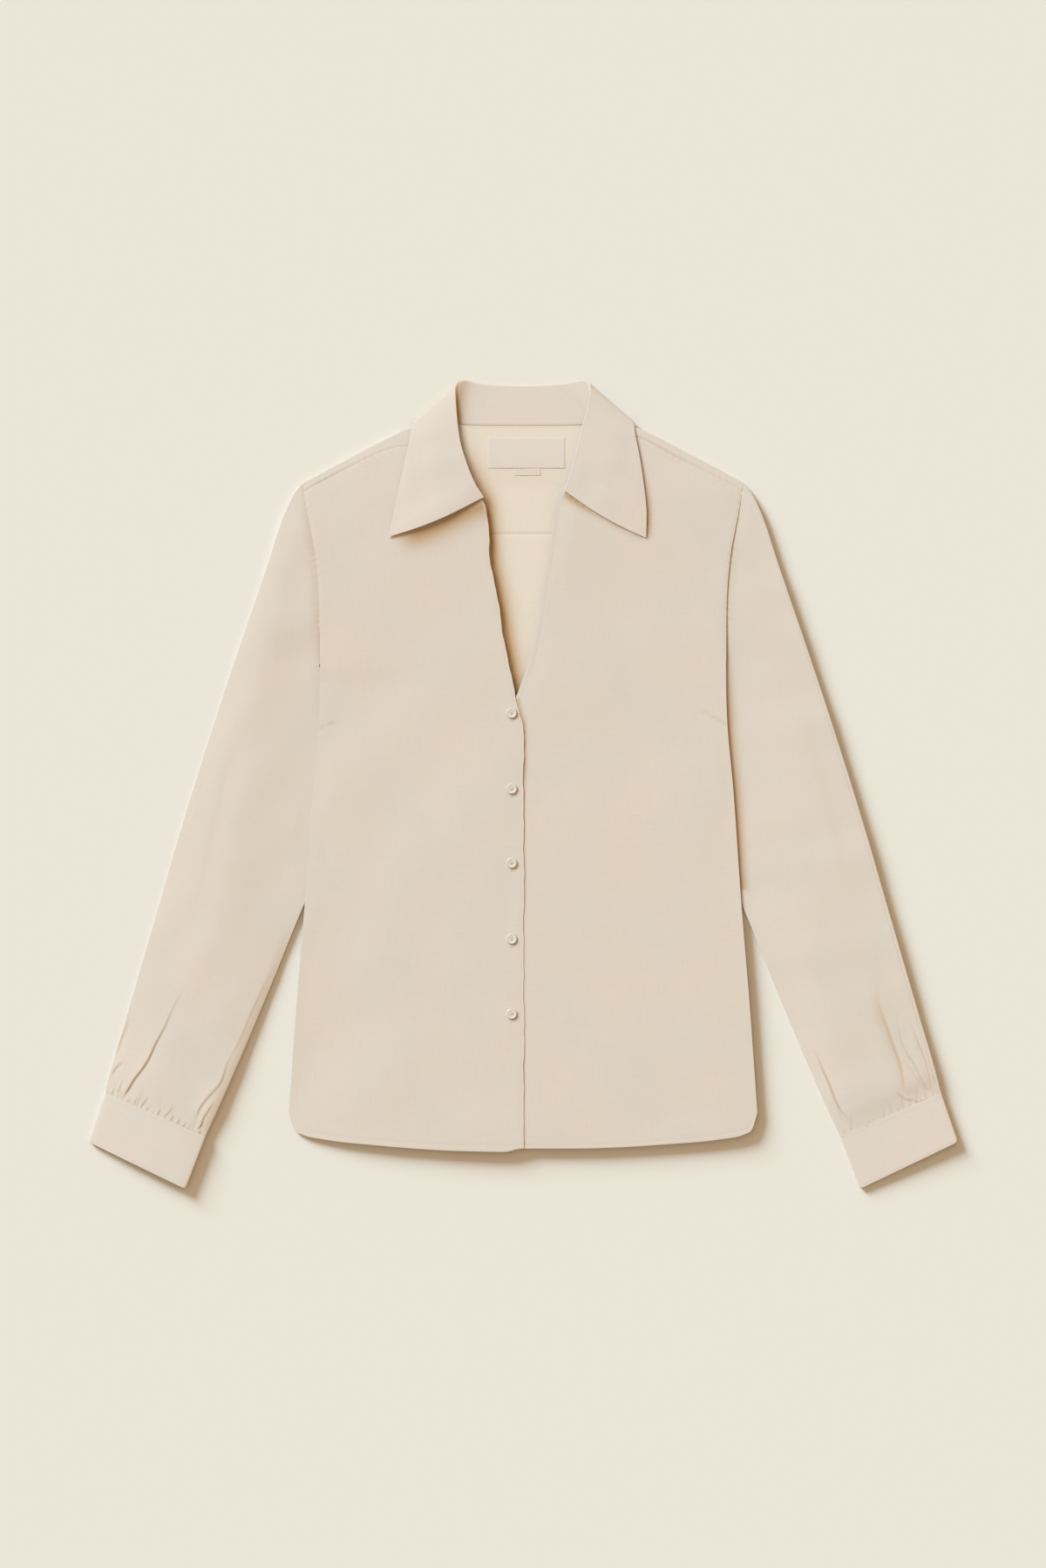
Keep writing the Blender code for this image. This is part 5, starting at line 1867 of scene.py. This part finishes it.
@dataclass
class Blouse:
    """The whole garment, built piece by piece from the surface up."""

    layout: Layout = field(default_factory=Layout)
    pieces: dict[str, ClothPiece] = field(default_factory=dict)

    collar_over: Rows = (
        (0.00, 392, 2632, 68, 360, 2632, 92, 1232, 2272, 84, 90),
        (0.16, 535, 2785, 66, 445, 2770, 100, 1188, 2480, 84, 90),
        (0.30, 670, 2970, 63, 525, 2970, 100, 1122, 2790, 82, 90),
        (0.42, 732, 3130, 58, 585, 3190, 90, 1062, 3070, 70, 85),
        (0.50, 740, 3240, 52, 612, 3440, 78, 1030, 3220, 58, 80),
        (0.55, 738, 3310, 48, 618, 3590, 62, 1018, 3300, 48, 60),
        (0.60, 715, 3350, 40, 596, 3680, 44, 990, 3352, 30, 10),
        (0.65, 660, 3322, 28, 530, 3708, 30, 965, 3345, 16, -50),
        *COLLAR_BACK,
    )
    collar_under: Rows = (
        (0.00, 408, 2680, 66, 385, 2690, 76, 1130, 2262, 74, 90),
        (0.16, 535, 2800, 66, 428, 2830, 84, 1134, 2480, 82, 90),
        (0.30, 670, 2980, 63, 494, 3070, 90, 1103, 2790, 82, 90),
        (0.42, 732, 3130, 58, 548, 3300, 86, 1062, 3050, 76, 85),
        (0.50, 740, 3240, 52, 596, 3480, 78, 1030, 3210, 64, 80),
        (0.55, 738, 3310, 48, 612, 3610, 66, 1018, 3300, 52, 60),
        (0.60, 715, 3350, 40, 598, 3684, 50, 990, 3352, 34, 10),
        (0.65, 660, 3322, 28, 535, 3708, 32, 965, 3345, 16, -50),
        *COLLAR_BACK,
    )
    # Painted shadow on the back and yoke inside the V, beside the upper front's edge
    inside_v: PaintedShadow = PaintedShadow(
        tenths(-6, 440, 26, 640, 66, 800, 99, 960, 160, 1280, 227, 1680, 302, 2064, 346, 2568, 385, 2640,
               445, 2770, 525, 2970, 585, 3190, 612, 3440),
        0.0100, 0.94, ends=(0.03, 0.35), near=0.0020,
    )
    # Painted shadow on the upper front below its collar's lower edge
    below_collar: PaintedShadow = PaintedShadow(
        tenths(1232, 2272, 1014, 2335, 796, 2418, 578, 2528, 370, 2625),
        0.0145, 1.0, ends=(0.3, 0.03), near=0.0075,
    )
    # Painted shadows on the under front: below the collar's point, beside its outer edge, and beside the
    # upper front's edge
    under_painted_shadows: tuple[PaintedShadow, ...] = (
        PaintedShadow(tenths(1130, 2262, 940, 2350, 757, 2445, 570, 2560, 385, 2690),
             0.0034, 0.45, ends=(0.05, 0.05)),
        PaintedShadow(tenths(757, 2445, 570, 2560, 385, 2690), 0.0055, 0.55, ends=(0.8, 0.05)),
        PaintedShadow(tenths(1120, 2240, 1134, 2480, 1103, 2790, 1062, 3050),
             0.0043, 0.9, side=-1, ends=(0.06, 0.7), near=0.0015),
        PaintedShadow(tenths(8, -3340, 6, -1000, 6, 440, -26, 640), 0.0013, 0.5, side=-1, ends=(0.01, 0.01)),
        PaintedShadow(tenths(6, -200, 6, 440, -26, 640, -66, 800), 0.0026, 0.7, side=-1, ends=(0.6, 0.03)),
    )
    edge_inset: float = 0.0024  # how far in from an edge its row of stitches runs
    hem_inset: float = 0.0052
    cuff_inset: float = 0.0024
    front_row: Point = (-0.331, 0.262)  # where each front's row starts and ends
    stand_row: float = 0.3553
    neck_inset: float = 0.0030
    yoke_inset: float = 0.0016
    strip_inset: float = 0.0014
    button_x: float = -0.0104
    button_heights: tuple[float, ...] = (0.0656, -0.0040, -0.0720, -0.1416, -0.2104)

    def cloth(self) -> list[ClothPiece]:
        """Every piece of cloth, from the surface up."""
        at = self.layout
        arm = Puckers(ARMHOLE, 0.00008, 0.0062, 0.0050, 7)
        arm_left = Puckers(ARMHOLE, 0.00005, 0.0070, 0.0045, 12)
        strip = Puckers(SHOULDER_SEAM, 0.00006, 0.0068, 0.0042, 5)
        return [
            Back(
                at, "back_panel", "back", (0.430, 0.567), 0.2226, ("floor",), columns=150, rows=120,
                painted_shadows=(self.inside_v,),
            ),
            Yoke(
                at, "yoke_panel", "yoke", (0.405, 0.125), 0.0383, ("floor", "front_right", "front_left"),
                held=Held.FOLDED, puckers=(strip,), painted_shadows=(self.inside_v,),
            ),
            Front(
                at, "front_under", "front_left", (0.237, 0.652), 0.1287, ("back",),
                columns=104, rows=230, side=Side.LEFT, edges=EDGE_UNDER, wavy_edge=0.0002,
                seam_dip=0.0003, painted_shadows=self.under_painted_shadows,
                dart=tenths(1860, 560, 1808, 586, 1722, 635, 1660, 664, 1603, 680),
                puckers=(arm_left, strip), uneven=Undulation(0.00040, 0.20, 6),
            ),
            Front(
                at, "front_over", "front_right", (0.217, 0.652), 0.1196, ("back", "front_left"),
                columns=104, rows=230, edges=EDGE_OVER, laps=True, corner=0.0035,
                painted_shadows=(self.below_collar,), dart=tenths(1863, 522, 1730, 569, 1603, 606),
                puckers=(arm, strip), uneven=Undulation(0.00040, 0.20, 5),
            ),
            Sleeve(
                at, "sleeve_tube_right", "sleeve_right", (0.380, 0.645), 0.1210, ("floor",),
                columns=220, rows=200, seam_height=0.0056, inner_slope=0.0004, free=0.08,
                edge_heights=(
                    (0, 0.0032, 0.0050), (0.1, 0.0024, 0.0050), (0.3, 0.0018, 0.0050),
                    (0.62, 0.0018, 0.0054), (0.86, 0.0018, 0.0056), (1, 0.0020, 0.0052),
                ),
                cuff_heights=(0.0024, 0.0059), cuff_arch=0.0015, painted_shadows=RIGHT_PAINTED_SHADOWS,
                creases=RIGHT_FOLDS, under_creases=LEFT_FOLDS, puckers=(arm,),
                uneven=Undulation(0.00040, 0.12, 11),
            ),
            Sleeve(
                at, "sleeve_tube_left", "sleeve_left", (0.380, 0.645), 0.1210, ("floor",),
                columns=220, rows=200, side=Side.LEFT, seam_dip=0.0002, free=0.07, height=0.0060,
                edge_heights=(
                    (0, 0.0042, 0.0050), (0.05, 0.0058, 0.0044), (0.12, 0.0064, 0.0044),
                    (0.62, 0.0066, 0.0030), (0.9, 0.0064, 0.0032), (1, 0.0055, 0.0029),
                ),
                cuff_heights=(0.0055, 0.0030), cuff_arch=0.0002, cuff_pinch=0.0240,
                painted_shadows=LEFT_PAINTED_SHADOWS, creases=LEFT_FOLDS, under_creases=RIGHT_FOLDS,
                puckers=(arm_left,), gathers=Gathers(9), under_gathers=Gathers(59),
                uneven=Undulation(0.00040, 0.12, 14),
            ),
            Cuff(
                at, "cuff_band_right", "cuff_right", (0.206, 0.0488), 0.00995, ("floor",),
                columns=120, rows=26, heights=(0.0022, 0.0060), arch=0.0018,
            ),
            Cuff(
                at, "cuff_band_left", "cuff_left", (0.206, 0.0488), 0.00995, ("floor",),
                columns=120, rows=26, side=Side.LEFT, heights=(0.0056, 0.0030), arch=0.0002,
                uneven=Undulation(0.00008, 0.05, 23),
            ),
            Collar(
                at, "collar_fall_and_stand", "collar", (0.520, 0.085), 0.0307,
                ("floor", "front_right", "front_left"), columns=56, rows=230, edges_over=EDGE_OVER,
                edges_under=EDGE_UNDER, over=self.collar_over, under=self.collar_under,
            ),
            Label(
                at, "woven_label", "neck_label", (0.0704, 0.0280), 0.00197, ("yoke",),
                columns=40, rows=20, place=(0.0032, 0.3044), size=(0.0704, 0.0280),
            ),
            Label(
                at, "woven_size_tab", "size_tab", (0.0240, 0.0100), 0.000149, ("yoke",),
                columns=16, rows=8, place=(0.0040, 0.2870), size=(0.0240, 0.0062), tilt=0.015,
            ),
        ]

    def sew(self) -> dict[str, list[Object]]:
        """Sews the visible seams and edges.

        Returns:
            The rows of stitches on each piece of cloth.
        """
        at = self.layout
        made: dict[str, list[Object]] = {}

        def row(name: str, cloth: str, *lines: Array) -> None:
            stitching = Stitching(name)
            for line in lines:
                stitching.run(self.pieces[cloth], line)
            made.setdefault(cloth, []).append(stitching.build())
            log.info("%s: %d stitches", name, stitching.count)

        up = np.linspace(0, 1, 600)
        for cloth, edges, side in (("front_over", EDGE_OVER, -1), ("front_under", EDGE_UNDER, 1)):
            front = self.pieces[cloth]
            rise = between(*self.front_row, up)
            inner = front.inner(rise) + self.edge_inset
            share = between(0.02, 0.97, up)
            reach = share * at.half_width(at.side_foot)
            hem = np.column_stack([side * reach, at.hem(share) + self.hem_inset])
            row(f"stitches_{cloth}", cloth, np.column_stack([side * inner, rise]), hem)
        collar = self.pieces["collar_fall_and_stand"]
        edge_lines = []
        for over, side in ((True, -1), (False, 1)):
            rounds = np.linspace(0.012, 0.5, 80)
            outer = np.array([collar.spot(0.975, float(share), over) for share in rounds])
            end = np.array([collar.spot(float(u), 0.02, over) for u in np.linspace(0.40, 0.97, 40)])
            edge_lines += [outer[:, :2] * (side, 1), end[:, :2] * (side, 1)]
        row("stitches_collar", collar.name, *edge_lines)
        x = np.linspace(-0.050, 0.050, 80)
        row("stitches_stand", collar.name, np.column_stack([x, np.full(80, self.stand_row)]))
        x = np.linspace(-0.060, 0.060, 80)
        yoke_lines = [np.column_stack([x, at.back_neck(abs(x)) - self.neck_inset])]
        x = np.linspace(-0.19, 0.19, 200)
        yoke_lines.append(np.column_stack([x, np.full(200, at.yoke_seam + self.yoke_inset)]))
        out = np.linspace(0.100, 0.198, 80)
        for side in Side:
            edge = at.shoulder_seam(out, side) + self.strip_inset
            yoke_lines.append(np.column_stack([side.value * out, edge]))
        row("stitches_yoke", "yoke_panel", *yoke_lines)
        for name in ("cuff_band_right", "cuff_band_left"):
            cuff = self.pieces[name]
            a, b = np.array(cuff.seam), np.array(cuff.end)
            deep = math.dist(a[0], b[0])
            lines = []
            for inset in (self.cuff_inset / deep, 1 - self.cuff_inset / deep):
                ends = between(a, b, inset)
                line = between(ends[0], ends[1], np.linspace(0.03, 0.97, 60)[:, None])
                lines.append(line * (cuff.side.value, 1))
            row(f"stitches_{name}", name, *lines)
        return made

    def buttonhole(self, up: float) -> Stitching:
        """A buttonhole's whipped edge, of which only the end shows past its button."""
        holes = Stitching("", length=0.0016, thick=0.00036)
        cloth = self.pieces["front_over"]
        for turn in np.linspace(0, 2 * math.pi, 44, endpoint=False):
            lean = Vector((math.cos(turn), math.sin(turn)))
            stretch = 0.0054 * math.copysign(min(1.0, abs(math.sin(turn)) * 1.6), math.sin(turn))
            foot = Vector((self.button_x + 0.0005 * lean.x, up - 0.0016 + stretch))
            start, end = cloth.seat(*foot), cloth.seat(*(foot + lean * 0.0011))
            holes.bead(start[0], end[0], start[1])
        return holes

    def build(self) -> None:
        """Builds the cloth, then its stitches and buttons."""
        for piece in self.cloth():
            piece.build()
            self.pieces[piece.name] = piece
            faces = len(piece.piece.data.polygons)
            log.info("%s: %d faces, stands for %s", piece.name, faces, piece.node)
        sewn = self.sew()
        front = self.pieces["front_over"]
        for number, up in enumerate(self.button_heights, 1):
            holes = self.buttonhole(up)
            holes.name = f"buttonhole_{number}"
            sewn.setdefault("front_over", []).append(holes.build())
            Button(number, (self.button_x, up), front, turn=0.5 + 0.9 * number).build()
            log.info("button %d at %.4f", number, up)
        for name, piece in self.pieces.items():
            piece.declare(sewn.get(name, ()))


def main() -> None:
    """Builds the blouse and its studio round the frame."""
    logging.basicConfig(level=logging.INFO, format="%(name)s: %(message)s")
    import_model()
    Studio().build()
    Blouse().build()


if __name__ == "__main__":
    main()
